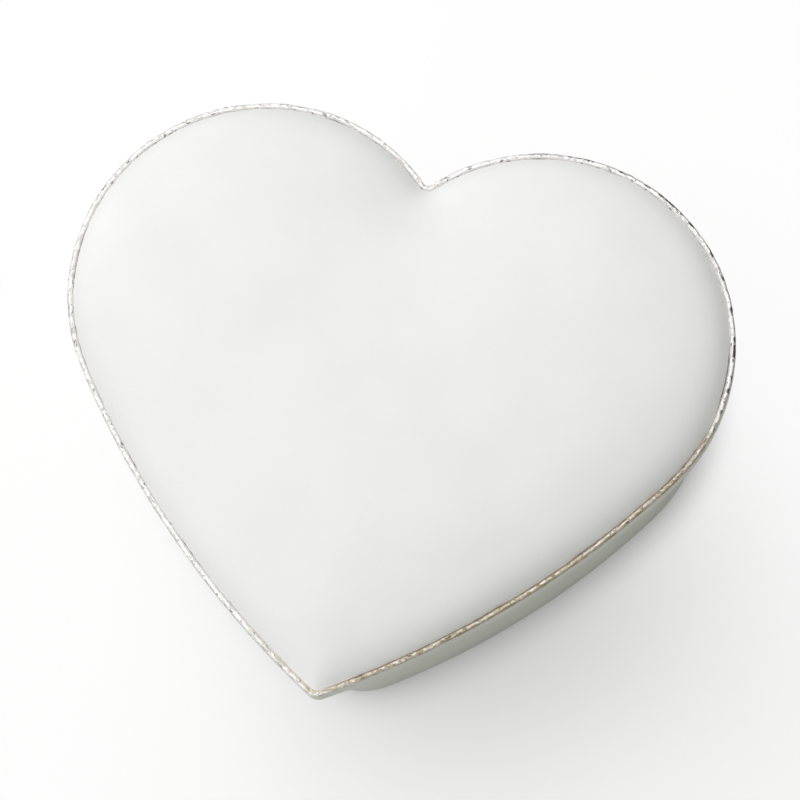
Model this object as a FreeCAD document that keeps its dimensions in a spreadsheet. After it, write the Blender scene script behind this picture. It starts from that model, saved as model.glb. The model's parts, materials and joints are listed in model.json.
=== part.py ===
import FreeCAD, Part
import os
import re

import Sketcher
from FreeCAD import Rotation, Vector

# Heart-shaped wind-up music box. Millimetres and degrees, +Z up, the heart's tip towards -Y,
# the hinges at +Y, and the origin under the middle of the box, on the surface that it stands on.

SIZES = {
    # The heart, drawn on the line of the trim cord.
    "lobe_radius": 34.6,
    "lobe_spread": 25.4,
    "side_radius": 160,
    "shoulder_angle": 34.6,
    "tip_radius": 2,
    "notch_radius": 1.5,
    # The body of the box.
    "rim_rise": 2.3,
    "body_inset": 3.8,
    "body_tip_radius": 13,
    "wrap_thickness": 0.6,
    "wrap_lift": 0.3,
    "wall_thickness": 3,
    "lining_thickness": 0.8,
    "lining_drop": 1.5,
    "base_height": 14,
    "base_thickness": 3,
    "felt_thickness": 0.5,
    "fit_gap": 0.1,
    # The lid.
    "lid_gap": 0.3,
    "lid_board_thickness": 4,
    "lid_overhang": 1,
    "lid_lining_gap": 1.2,
    "trim_diameter": 1.1,
    "pad_roll": 8,
    "pad_shoulder": 5.2,
    "pad_flat": 16,
    "pad_crown": 2.2,
    "cover_thickness": 0.5,
    # The hinges.
    "hinge_length": 10,
    "knuckle_length": 4,
    "knuckle_radius": 1.3,
    "knuckle_gap": 0.1,
    "hinge_standoff": 0.05,
    "pin_radius": 0.6,
    "pin_clearance": 0.03,
    "leaf_thickness": 0.8,
    "leaf_depth": 3.4,
    "leaf_clearance": 0.2,
    "pocket_clearance": 0.3,
    "hinge_screw_spread": 6.6,
    "hinge_screw_head": 0.95,
    "hinge_screw_radius": 0.5,
    "hinge_screw_length": 2.8,
    # The movement's room.
    "room_gap": 2,
    "corner_gap": 1,
    "room_margin": 0.7,
    "room_headroom": 2.15,
    "board_thickness": 1.5,
    "clear_cover_thickness": 1.5,
    # The bedplate and the comb.
    "bed_thickness": 2.5,
    "bed_margin": 2.7,
    "bed_edge": 0.1,
    "bed_front": -7,
    "bed_notch_gap": 0.6,
    "cylinder_notch_gap": 1,
    "ear_reach": 15.2,
    "ear_gap": 0.5,
    "ear_margin": 0.3,
    "ear_side": 0.5,
    "comb_pitch": 1,
    "comb_teeth": 18,
    "comb_thickness": 1.2,
    "comb_front": -5,
    "comb_heel": 1.5,
    "comb_slant": 4,
    "comb_margin": 0.8,
    "comb_tooth_width": 0.76,
    "comb_tooth_thickness": 0.6,
    "comb_clearance": 0.12,
    "bed_screw_head": 2.2,
    "bed_screw_radius": 1.1,
    "bed_screw_head_height": 0.9,
    "bed_screw_length": 5.5,
    "bed_screw_setback": 5.3,
    "bed_screw_edge": 4,
    "cheese_head": 1.5,
    "cheese_head_height": 1.1,
    "cheese_radius": 0.8,
    "cheese_length": 5,
    "cheese_slot": 0.4,
    "comb_screw_spread": 11,
    # Tooth shapes, as shares of the module.
    "tooth_rise": 0.9,
    "tooth_depth": 1.25,
    "tooth_bite": 0.3,
    "tooth_root_width": 1.75,
    "tooth_tip_width": 0.7,
    # The spring barrel and the winding parts.
    "barrel_lift": 0.4,
    "barrel_wall": 1,
    "barrel_bottom": 1,
    "crown_teeth": 42,
    "crown_module": 0.5,
    "crown_face": 2,
    "crown_rim": 0.3,
    "crown_thickness": 1,
    "crown_root_width": 0.78,
    "crown_tip_width": 0.42,
    "arbor_radius": 1.5,
    "arbor_pivot_radius": 1.2,
    "arbor_core_radius": 2.6,
    "arbor_clearance": 0.1,
    "spring_strip": 0.4,
    "spring_pitch": 1.7,
    "spring_half_turns": 6,
    "spring_gap": 0.3,
    "bridge_thickness": 2,
    "bridge_lift": 0.95,
    "bridge_width": 5,
    "post_radius": 2.3,
    "post_gap": 0.9,
    "bearing_thickness": 2.2,
    "bearing_width": 6,
    "bearing_setback": 2,
    "ratchet_teeth": 16,
    "ratchet_radius": 3.6,
    "ratchet_depth": 0.7,
    "ratchet_bite": 0.2,
    "ratchet_thickness": 1.2,
    "ratchet_lift": 0.2,
    "click_pivot_y": 7.5,
    "click_pivot_x": -1.2,
    "click_hub_radius": 1.3,
    "click_nose_x": 0.9,
    "click_nose_gap": 0.18,
    "click_nose_width": 0.7,
    "click_screw_radius": 0.6,
    "click_screw_head": 1.1,
    "click_screw_head_height": 0.6,
    # The key.
    "key_foot": 2,
    "key_wing_radius": 5,
    "key_wing_hole": 2.2,
    "key_wing_reach": 7,
    "key_wing_thickness": 1.6,
    "key_hub_radius": 3.2,
    "key_socket_floor": 2,
    "escutcheon_radius": 6,
    "escutcheon_thickness": 0.6,
    # The cylinder and its wheels.
    "cylinder_height": 13,
    "cylinder_radius": 6.5,
    "pinion_gap": 3.5,
    "cylinder_margin": 1,
    "cylinder_arbor_radius": 1,
    "note_pin_height": 0.5,
    "note_pin_width": 0.45,
    "note_pins_each": 3,
    "note_turn": 137.5,
    "pinion_teeth": 20,
    "pinion_face": 2,
    "gear_teeth": 36,
    "gear_face": 1.3,
    "gear_gap": 0.6,
    "leaf_teeth": 9,
    "fine_module": 0.4,
    # The governor.
    "plate_gap": 0.3,
    "plate_thickness": 0.8,
    "plate_spacing": 2.4,
    "plate_margin": 3.5,
    "plate_rise": 2.2,
    "governor_foot": 2.5,
    "governor_toe": 2.5,
    "governor_arbor_radius": 0.8,
    "worm_wheel_teeth": 24,
    "worm_module": 0.35,
    "worm_tooth_root": 0.6,
    "worm_tooth_tip": 0.21,
    "worm_wheel_face": 0.9,
    "worm_radius": 1.6,
    "worm_side_threads": 2,
    "worm_starts": 2,
    "worm_crest": 0.2,
    "worm_thread_width": 0.6,
    "worm_shaft_radius": 0.6,
    "fly_lift": 0.5,
    "fly_height": 2,
    "fly_reach": 4.4,
    "fly_thickness": 0.6,
    "fly_disc": 0.5,
    "fly_hub_radius": 1.5,
    "cock_width": 3,
    "cock_thickness": 0.8,
    "cock_lift": 0.7,
    "cock_clearance": 0.7,
    "cock_foot": 3.6,
    # The stop rod.
    "rod_radius": 0.75,
    "rod_gap": 1,
    "rod_lid_gap": 0.2,
    "finger_gap": 0.25,
    "finger_thickness": 0.6,
    "finger_overlap": 2.2,
    "guide_wall": 0.9,
    "guide_flange": 2.9,
    "guide_flange_thickness": 1,
    "guide_height": 16,
}

# Places and sizes that follow from those above.
PLACES = {
    # The heart's arcs: the side's centre, the tip and the notch.
    "side_x": "lobe_spread - (side_radius - lobe_radius) * cos(shoulder_angle)",
    "side_rise": "(side_radius - lobe_radius) * sin(shoulder_angle)",
    "tip_reach": "sqrt((side_radius - tip_radius)^2 - side_x^2) + tip_radius - side_rise",
    "lobe_y": "(tip_reach - lobe_radius) / 2",
    "side_y": "lobe_y + side_rise",
    "notch_y": "lobe_y + sqrt((lobe_radius + notch_radius)^2 - lobe_spread^2)",
    # Layers from the wrap inwards, and levels from the floor up.
    "wall_inset": "body_inset + wrap_thickness",
    "lining_inset": "wall_inset + wall_thickness",
    "room_inset": "lining_inset + lining_thickness",
    "lining_tip": "body_tip_radius - wrap_thickness - wall_thickness",
    "room_tip": "lining_tip - lining_thickness",
    "base_top": "base_height + base_thickness",
    "board_top": "cock_floor + cock_thickness + room_headroom",
    "board_height": "board_top - base_top",
    "clear_cover_top": "board_top + clear_cover_thickness",
    "body_height": "clear_cover_top + rim_rise",
    "lid_floor": "body_height + lid_gap",
    "lid_top": "lid_floor + lid_board_thickness",
    "lid_lining_floor": "lid_floor - lining_thickness",
    "lid_board_inset": "wrap_thickness - lid_overhang",
    "pad_edge": "trim_diameter / 2 + fit_gap",
    # The hinge axis, behind the wrap at the back of each lobe.
    "wrap_back": "lobe_y + lobe_radius - body_inset",
    "hinge_y": "wrap_back + hinge_standoff + knuckle_radius",
    "hinge_z": "body_height + lid_gap / 2",
    "leaf_back": "-knuckle_radius - leaf_clearance",
    "leaf_front": "leaf_back - leaf_depth",
    "leaf_middle": "leaf_back - leaf_depth / 2",
    # The movement's room, and the bedplate with its ear against the wall of the left lobe.
    "room_left": "bed_left - room_gap - board_thickness",
    "room_limit": "side_x + sqrt((side_radius - room_inset)^2 - (side_y - room_front)^2) - corner_gap",
    "room_right": "bed_right + room_margin + board_thickness",
    "room_front": "bed_front - room_gap - board_thickness",
    "bed_left": "barrel_x - barrel_radius - bed_margin",
    "bed_right": "rod_x + guide_flange + bed_edge",
    "notch_face": "notch_y - notch_radius - room_inset",
    "bed_back": "notch_face - bed_notch_gap",
    "bed_screw_left": "bed_left + bed_screw_setback",
    "bed_screw_right": "bed_right - bed_screw_setback",
    "bed_screw_front": "bed_front + bed_screw_edge",
    "bed_screw_back": "bed_back - bed_screw_edge",
    "ear_width": "2 * (post_radius + ear_side)",
    "ear_x": "barrel_x + ear_width / 2 + lobe_spread",
    "ear_back": "lobe_y + sqrt((lobe_radius - room_inset - ear_gap)^2 - ear_x^2)",
    "post_reach": "barrel_radius + post_gap + post_radius",
    # The movement stands as far back and right as the ear, the notch and the right wall let it.
    "barrel_y": "min(ear_back - ear_margin - post_radius - post_reach;"
                " notch_face - cylinder_notch_gap - note_pin_height - cylinder_radius)",
    "train_length": "cylinder_gap + cylinder_length + governor_gap + fly_reach + rod_gap + rod_radius"
                    " + guide_flange + bed_edge + room_margin + board_thickness",
    "cylinder_gap": "crown_radius + pinion_face / 2 + pinion_gap",
    "governor_gap": "gear_gap + gear_face + plate_gap + plate_thickness + plate_spacing / 2",
    "barrel_x": "min(ear_reach - ear_width / 2 - lobe_spread; room_limit - train_length)",
    # The movement's levels and axes.
    "bed_top": "base_top + bed_thickness",
    "arbor_z": "bed_top + cylinder_height",
    "crown_radius": "crown_module * crown_teeth / 2",
    "pinion_radius": "crown_module * pinion_teeth / 2",
    "crown_plane": "arbor_z - pinion_radius",
    "crown_floor": "crown_plane - tooth_depth * crown_module",
    "crown_top": "crown_plane + tooth_rise * crown_module",
    "crown_disc_floor": "crown_floor - crown_thickness",
    "barrel_radius": "crown_radius + crown_face / 2 + crown_rim",
    "barrel_floor": "bed_top + barrel_lift",
    "barrel_inside": "barrel_floor + barrel_bottom",
    "pinion_x": "barrel_x + crown_radius",
    "bridge_floor": "crown_top + bridge_lift",
    "bridge_top": "bridge_floor + bridge_thickness",
    "bridge_screw_length": "bridge_top - base_top - fit_gap",
    "bearing_right": "crown_radius - pinion_face / 2 - bearing_setback",
    "ratchet_floor": "bridge_top + ratchet_lift",
    "ratchet_top": "ratchet_floor + ratchet_thickness",
    "click_nose_y": "sqrt((ratchet_radius + click_nose_gap)^2 - click_nose_x^2)",
    "key_wing_z": "key_foot + key_wing_radius",
    "key_top": "key_foot + 2 * key_wing_radius",
    "felt_floor": "base_height - felt_thickness",
    "cylinder_length": "(comb_teeth - 1) * comb_pitch + 2 * cylinder_margin",
    "cylinder_left": "barrel_x + cylinder_gap",
    "cylinder_right": "cylinder_left + cylinder_length",
    "comb_first_x": "cylinder_left + cylinder_margin",
    "comb_z": "arbor_z - comb_thickness / 2",
    "comb_tip": "barrel_y - cylinder_radius - note_pin_height - comb_clearance",
    "comb_left": "comb_first_x - comb_tooth_width / 2 - comb_margin",
    "comb_width": "(comb_teeth - 1) * comb_pitch + comb_tooth_width + 2 * comb_margin",
    "comb_middle": "comb_left + comb_width / 2",
    "gear_x": "cylinder_right + gear_gap",
    "gear_radius": "fine_module * gear_teeth / 2",
    "leaf_radius": "fine_module * leaf_teeth / 2",
    "governor_y": "barrel_y - gear_radius - leaf_radius",
    "inner_plate_x": "gear_x + gear_face + plate_gap",
    "outer_plate_x": "inner_plate_x + plate_thickness + plate_spacing",
    "frame_right": "outer_plate_x + plate_thickness",
    "worm_x": "inner_plate_x + plate_thickness + plate_spacing / 2",
    "worm_wheel_radius": "worm_module * worm_wheel_teeth / 2",
    "worm_y": "governor_y - worm_wheel_radius - worm_radius",
    "worm_pitch": "pi * worm_module",
    "worm_lead": "worm_starts * worm_pitch",
    "worm_length": "(2 * worm_side_threads + 1) * worm_pitch",
    "worm_foot": "arbor_z - worm_length / 2",
    "foot_top": "bed_top + governor_foot",
    "plate_top": "arbor_z + plate_rise",
    "fly_floor": "arbor_z + worm_wheel_radius + worm_module + fly_lift",
    "fly_top": "fly_floor + fly_height",
    "cock_floor": "fly_top + cock_lift",
    "cock_leg_y": "worm_y - fly_reach - cock_clearance",
    "rod_x": "worm_x + fly_reach + rod_gap + rod_radius",
    "rod_top": "lid_lining_floor - rod_lid_gap",
    "finger_floor": "fly_top + finger_gap",
}

# The two halves of the heart, the steps up the rolled edge of the pad and of its cover,
# and the flats round the trim cord.
SIDES = {"left": "-1", "right": "1"}
PAD_STEPS = 2
COVER_STEPS = 3
TRIM_FLATS = 8

WORD = re.compile(r"[a-z_][a-z_0-9]*")

doc = FreeCAD.newDocument("MusicBox")
sheet = doc.addObject("Spreadsheet::Sheet", "Sizes")
for row, (size_name, size) in enumerate(SIZES.items(), 1):
    sheet.set(f"A{row}", size_name)
    sheet.set(f"B{row}", str(size))
    sheet.setAlias(f"B{row}", size_name)
doc.recompute()

nodes = []


# Sizes and places in formulas.
def formula(text):
    """A formula in which every named size points at its cell and every named place is written out."""

    def expand(match):
        word = match.group(0)
        if word in SIZES:
            return "Sizes." + word
        if word in PLACES:
            return "(" + formula(PLACES[word]) + ")"
        return word

    return WORD.sub(expand, str(text))


def value(text):
    return float(sheet.evalExpression(formula(text)))


def bind(thing, prop, text):
    thing.setExpression(prop, formula(text))


def place(thing, x, y, z):
    for axis, text in zip("xyz", (x, y, z)):
        bind(thing, "Placement.Base." + axis, text)


def turn(thing, axis, angle):
    thing.Placement.Rotation = Rotation(axis, value(angle))
    bind(thing, "Placement.Rotation.Angle", angle)


# Bodies, sketches and features.
def new_body(label, x="0", y="0", z="0"):
    body = doc.addObject("PartDesign::Body", label)
    body.Label = label
    place(body, x, y, z)
    nodes.append(body)
    return body


def origin(body, role):
    return [feature for feature in body.Origin.OriginFeatures if feature.Role == role][0]


def new_sketch(body, plane="XY_Plane", height="0"):
    sketch = body.newObject("Sketcher::SketchObject", body.Name + "_sketch")
    sketch.AttachmentSupport = [(origin(body, plane), "")]
    sketch.MapMode = "FlatFace"
    bind(sketch, "AttachmentOffset.Base.z", height)
    return sketch


def pin_point(sketch, geometry, point, x, y):
    for kind, text in (("DistanceX", x), ("DistanceY", y)):
        index = sketch.addConstraint(Sketcher.Constraint(kind, -1, 1, geometry, point, value(text)))
        bind(sketch, f"Constraints[{index}]", text)


def set_radius(sketch, geometry, radius):
    index = sketch.addConstraint(Sketcher.Constraint("Radius", geometry, value(radius)))
    bind(sketch, f"Constraints[{index}]", radius)


def draw_polygon(sketch, corners):
    points = [Vector(value(x), value(y), 0) for x, y in corners]
    first = sketch.GeometryCount
    count = len(points)
    for i in range(count):
        sketch.addGeometry(Part.LineSegment(points[i], points[(i + 1) % count]))
    for i in range(count):
        joint = Sketcher.Constraint("Coincident", first + i, 2, first + (i + 1) % count, 1)
        sketch.addConstraint(joint)
    for i, (x, y) in enumerate(corners):
        pin_point(sketch, first + i, 1, x, y)


def draw_rectangle(sketch, left, right, bottom, top):
    draw_polygon(sketch, [(left, bottom), (right, bottom), (right, top), (left, top)])


def draw_round_polygon(sketch, radius, sides):
    angles = [360 * number / sides for number in range(sides)]
    draw_polygon(sketch, [(f"{radius} * cos({angle})", f"{radius} * sin({angle})") for angle in angles])


def draw_circle(sketch, x, y, radius):
    centre = Vector(value(x), value(y), 0)
    index = sketch.addGeometry(Part.Circle(centre, Vector(0, 0, 1), value(radius)))
    pin_point(sketch, index, 3, x, y)
    set_radius(sketch, index, radius)


def draw_heart(sketch, inset, tip):
    """The heart's outline, set in from the trim line: six tangent arcs, whose centres all insets share."""
    lobe = f"lobe_radius - ({inset})"
    side = f"side_radius - ({inset})"
    tip_y = f"side_y - sqrt((side_radius - ({inset}) - ({tip}))^2 - side_x^2)"
    right_lobe = Vector(value("lobe_spread"), value("lobe_y"), 0)
    right_side = Vector(value("side_x"), value("side_y"), 0)
    notch = Vector(0, value("notch_y"), 0)
    tip_centre = Vector(0, value(tip_y), 0)
    left_lobe = Vector(-right_lobe.x, right_lobe.y, 0)
    left_side = Vector(-right_side.x, right_side.y, 0)

    def towards(start, end, distance):
        return start + (end - start).normalize() * distance

    right_shoulder = towards(right_side, right_lobe, value(side))
    left_shoulder = towards(left_side, left_lobe, value(side))
    right_notch = towards(right_lobe, notch, value(lobe))
    left_notch = towards(left_lobe, notch, value(lobe))
    right_tip = towards(right_side, tip_centre, value(side))
    left_tip = towards(left_side, tip_centre, value(side))
    arcs = [
        (right_lobe, right_shoulder, right_notch),
        (notch, left_notch, right_notch),
        (left_lobe, left_notch, left_shoulder),
        (left_side, left_shoulder, left_tip),
        (tip_centre, left_tip, right_tip),
        (right_side, right_tip, right_shoulder),
    ]
    first = sketch.GeometryCount
    for centre, start, end in arcs:
        circle = Part.Circle(centre, Vector(0, 0, 1), start.distanceToPoint(centre))
        arc = Part.ArcOfCircle(circle, circle.parameter(start), circle.parameter(end))
        sketch.addGeometry(arc)
    joints = [(0, 2, 1, 2), (1, 1, 2, 1), (2, 2, 3, 1), (3, 2, 4, 1), (4, 2, 5, 1), (5, 2, 0, 1)]
    for one, end_one, other, end_other in joints:
        contact = Sketcher.Constraint("Tangent", first + one, end_one, first + other, end_other)
        sketch.addConstraint(contact)
    radii = [lobe, f"notch_radius + ({inset})", lobe, side, tip, side]
    for index, radius in enumerate(radii):
        set_radius(sketch, first + index, radius)
    pin_point(sketch, first, 3, "lobe_spread", "lobe_y")
    pin_point(sketch, first + 2, 3, "-lobe_spread", "lobe_y")
    for index, text in ((first + 3, "-(side_x)"), (first + 5, "side_x")):
        place_x = Sketcher.Constraint("DistanceX", -1, 1, index, 3, value(text))
        bind(sketch, f"Constraints[{sketch.addConstraint(place_x)}]", text)


def pad(body, sketch, length, symmetric=False):
    feature = body.newObject("PartDesign::Pad", body.Name + "_pad")
    feature.Profile = sketch
    bind(feature, "Length", length)
    if symmetric:
        feature.SideType = "Symmetric"
    return feature


def pocket(body, sketch, depth, upwards=False):
    feature = body.newObject("PartDesign::Pocket", body.Name + "_pocket")
    feature.Profile = sketch
    bind(feature, "Length", depth)
    feature.Reversed = upwards
    return feature


def loft(body, sketches, kind="PartDesign::AdditiveLoft"):
    feature = body.newObject(kind, body.Name + "_loft")
    feature.Profile = sketches[0]
    feature.Sections = sketches[1:]
    feature.Ruled = True
    return feature


def repeat_round(body, feature, axis, count):
    pattern = body.newObject("PartDesign::PolarPattern", body.Name + "_round")
    pattern.Originals = [feature]
    pattern.Axis = (origin(body, axis), [""])
    pattern.Angle = 360
    bind(pattern, "Occurrences", count)
    body.Tip = pattern
    return pattern


def repeat_along(body, feature, axis, length, count):
    pattern = body.newObject("PartDesign::LinearPattern", body.Name + "_row")
    pattern.Originals = [feature]
    pattern.Direction = (origin(body, axis), [""])
    bind(pattern, "Length", length)
    bind(pattern, "Occurrences", count)
    body.Tip = pattern
    return pattern


def mirror_across(body, features, plane):
    twin = body.newObject("PartDesign::Mirrored", body.Name + "_mirror")
    twin.Originals = features
    twin.MirrorPlane = (origin(body, plane), [""])
    body.Tip = twin
    return twin


def heart_plate(label, inset, tip, floor, thickness):
    body = new_body(label)
    sketch = new_sketch(body, height=floor)
    draw_heart(sketch, inset, tip)
    pad(body, sketch, thickness)
    return body


def heart_band(label, outer, inner, outer_tip, floor, height):
    body = new_body(label)
    sketch = new_sketch(body, height=floor)
    draw_heart(sketch, outer, outer_tip)
    draw_heart(sketch, inner, f"{outer_tip} - (({inner}) - ({outer}))")
    pad(body, sketch, height)
    return body


def cut_rectangle(body, left, right, bottom, top, height, depth, upwards=False):
    sketch = new_sketch(body, height=height)
    draw_rectangle(sketch, left, right, bottom, top)
    return pocket(body, sketch, depth, upwards)


def cut_hole(body, x, y, radius, height, depth, plane="XY_Plane"):
    sketch = new_sketch(body, plane, height)
    draw_circle(sketch, x, y, radius)
    return pocket(body, sketch, depth)


def add_round(body, x, y, radius, height, length, plane="XY_Plane"):
    sketch = new_sketch(body, plane, height)
    draw_circle(sketch, x, y, radius)
    return pad(body, sketch, length)


def add_block(body, left, right, bottom, top, height, length, plane="XY_Plane"):
    sketch = new_sketch(body, plane, height)
    draw_rectangle(sketch, left, right, bottom, top)
    return pad(body, sketch, length)


# Simple round pieces, screws and groups of them.
def cylinder(name, radius, height, x, y, z):
    rod = doc.addObject("Part::Cylinder", name)
    bind(rod, "Radius", radius)
    bind(rod, "Height", height)
    place(rod, x, y, z)
    return rod


def cone(name, lower, upper, height, x, y, z):
    taper = doc.addObject("Part::Cone", name)
    bind(taper, "Radius1", lower)
    bind(taper, "Radius2", upper)
    bind(taper, "Height", height)
    place(taper, x, y, z)
    return taper


def fuse(name, pieces):
    whole = doc.addObject("Part::MultiFuse", name)
    whole.Shapes = pieces
    return whole


def cut(name, base, tool):
    rest = doc.addObject("Part::Cut", name)
    rest.Base = base
    rest.Tool = tool
    return rest


def group(label, pieces):
    whole = doc.addObject("Part::Compound", label)
    whole.Label = label
    whole.Links = pieces
    nodes.append(whole)
    return whole


def cheese_screw(name, x, y, seat, length):
    """A slotted screw with a flat-topped round head, driven down to its seat."""
    head = cylinder(name + "_head", "cheese_head", "cheese_head_height", x, y, seat)
    shank = cylinder(name + "_shank", "cheese_radius", length, x, y, f"{seat} - ({length})")
    slot = doc.addObject("Part::Box", name + "_slot")
    bind(slot, "Length", "2 * cheese_head")
    bind(slot, "Width", "cheese_slot")
    bind(slot, "Height", "cheese_slot")
    top = f"{seat} + cheese_head_height - cheese_slot"
    place(slot, f"{x} - cheese_head", f"{y} - cheese_slot / 2", top)
    return cut(name, fuse(name + "_blank", [head, shank]), slot)


# The body of the box.
def cut_hinge_mortises(body, sides):
    for sign in sides:
        middle = f"({sign} * lobe_spread)"
        half = "(hinge_length / 2 + fit_gap)"
        front = "hinge_y + leaf_front - fit_gap"
        back = "hinge_y + knuckle_radius"
        cut_rectangle(body, f"{middle} - {half}", f"{middle} + {half}", front, back, "body_height",
                      "leaf_thickness")


def hinge_screw_places(sign):
    for end in ("-1", "1"):
        yield f"{sign} * lobe_spread + {end} * hinge_screw_spread / 2", "hinge_y + leaf_middle"


def build_wall(side, sign):
    wall = heart_band(side + "_wall", "wall_inset", "lining_inset", "body_tip_radius - wrap_thickness",
                      "0", "body_height")
    far = "(2 * lobe_radius + 2 * lobe_spread)"
    away = ("0", far) if side == "left" else (f"-{far}", "0")
    cut_rectangle(wall, away[0], away[1], f"-{far}", far, "body_height", "body_height")
    cut_hinge_mortises(wall, [sign])
    for x, y in hinge_screw_places(sign):
        cut_hole(wall, x, y, "hinge_screw_radius", "body_height", "leaf_thickness + hinge_screw_length")


def build_casing():
    for side, sign in SIDES.items():
        build_wall(side, sign)
    wrap = heart_band("body_wrap", "body_inset", "wall_inset", "body_tip_radius", "wrap_lift",
                      "body_height - wrap_lift")
    cut_hinge_mortises(wrap, SIDES.values())
    board = heart_plate("base_board", "lining_inset", "lining_tip", "base_height",
                        "base_thickness")
    felt = heart_plate("base_felt", "lining_inset + fit_gap", "lining_tip",
                       "felt_floor", "felt_thickness")
    for sheet_body, top in ((board, "base_top"), (felt, "base_height")):
        cut_hole(sheet_body, "barrel_x", "barrel_y", "arbor_radius + arbor_clearance", top,
                 "base_thickness")
        for x, y in bed_screw_places():
            cut_hole(sheet_body, x, y, "bed_screw_radius", top, "base_thickness")
    heart_band("wall_lining", "lining_inset", "room_inset", "lining_tip",
               "base_top", "body_height - base_top - lining_drop")
    floor = heart_plate("floor_lining", "room_inset", "room_tip", "base_top", "lining_thickness")
    cut_rectangle(floor, "room_left", "room_right", "room_front", "lobe_y + 2 * lobe_radius",
                  "base_top + lining_thickness", "lining_thickness")


def build_partition():
    """Three lined boards round the movement and a clear cover laid on top of them."""
    front = new_body("partition_front")
    add_block(front, "room_left + board_thickness", "room_right - board_thickness", "room_front",
              "room_front + board_thickness", "base_top", "board_height")
    for side, near in (("left", "room_left"), ("right", "room_right - board_thickness")):
        outer = "-room_left" if side == "left" else "room_right"
        lobe = f"sqrt((lobe_radius - room_inset - fit_gap)^2 - ({outer} - lobe_spread)^2)"
        board = new_body("partition_" + side)
        add_block(board, near, f"{near} + board_thickness", "room_front", f"lobe_y + {lobe}", "base_top",
                  "board_height")
    cover = heart_plate("movement_cover", "room_inset + fit_gap", "room_tip", "board_top",
                        "clear_cover_thickness")
    far = "(2 * lobe_radius + 2 * lobe_spread)"
    depth = ("clear_cover_top", "clear_cover_thickness")
    cut_rectangle(cover, f"-{far}", far, f"-{far}", "room_front", *depth)
    cut_rectangle(cover, f"-{far}", "room_left", f"-{far}", far, *depth)
    cut_rectangle(cover, "room_right", far, f"-{far}", far, *depth)
    cut_hole(cover, "rod_x", "worm_y", "rod_radius + pocket_clearance", *depth)


# The lid.
def pad_sections(body, shrink, count):
    """Outlines that climb the rolled edge of the pad as a quarter ellipse, then the crown."""
    steps = [90 * number / count for number in range(count + 1)]
    rolled = [(f"pad_roll * (1 - cos({step}))", f"pad_shoulder * sin({step})") for step in steps]
    rolled.append(("pad_roll + pad_flat", "pad_shoulder + pad_crown"))
    sketches = []
    for index, (inset, rise) in enumerate(rolled):
        level = "lid_top" if index == 0 else f"lid_top + {rise} - {shrink}"
        sketch = new_sketch(body, height=level)
        draw_heart(sketch, f"pad_edge + {inset} + {shrink}", "tip_radius")
        sketches.append(sketch)
    return sketches


def build_lid():
    board = heart_plate("lid_board", "lid_board_inset", "tip_radius - lid_board_inset", "lid_floor",
                        "lid_board_thickness")
    for sign in SIDES.values():
        middle = f"({sign} * lobe_spread)"
        half = "(hinge_length / 2 + pocket_clearance)"
        reach = "(knuckle_radius + pocket_clearance)"
        ends = (f"{middle} - {half}", f"{middle} + {half}")
        cut_rectangle(board, *ends, f"hinge_y - {reach}", f"hinge_y + {reach}", "lid_floor",
                      f"{reach} - lid_gap / 2", upwards=True)
        cut_rectangle(board, *ends, "hinge_y + leaf_front - fit_gap", "hinge_y", "lid_floor",
                      "leaf_thickness", upwards=True)
        for x, y in hinge_screw_places(sign):
            sketch = new_sketch(board, height="lid_floor")
            draw_circle(sketch, x, y, "hinge_screw_radius")
            pocket(board, sketch, "leaf_thickness + hinge_screw_length", upwards=True)
    heart_band("lid_side_wrap", "-lid_overhang", "lid_board_inset", "tip_radius + lid_overhang", "lid_floor",
               "lid_board_thickness")
    heart_plate("lid_lining", "room_inset + lid_lining_gap", "room_tip", "lid_lining_floor",
                "lining_thickness")
    foam = new_body("lid_pad")
    loft(foam, pad_sections(foam, "cover_thickness", PAD_STEPS))
    cover = new_body("lid_cover")
    loft(cover, pad_sections(cover, "0", COVER_STEPS))
    loft(cover, pad_sections(cover, "cover_thickness", PAD_STEPS), "PartDesign::SubtractiveLoft")
    trim = new_body("lid_trim_cord")
    path = new_sketch(trim, height="lid_top + trim_diameter / 2")
    draw_heart(path, "0", "tip_radius")
    section = trim.newObject("Sketcher::SketchObject", "lid_trim_section")
    section.AttachmentSupport = [(path, "Edge1")]
    section.MapMode = "NormalToEdge"
    draw_round_polygon(section, "trim_diameter / 2", TRIM_FLATS)
    cord = trim.newObject("PartDesign::AdditivePipe", "lid_trim_pipe")
    cord.Profile = section
    cord.Spine = (path, [f"Edge{number}" for number in range(1, 7)])


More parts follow.
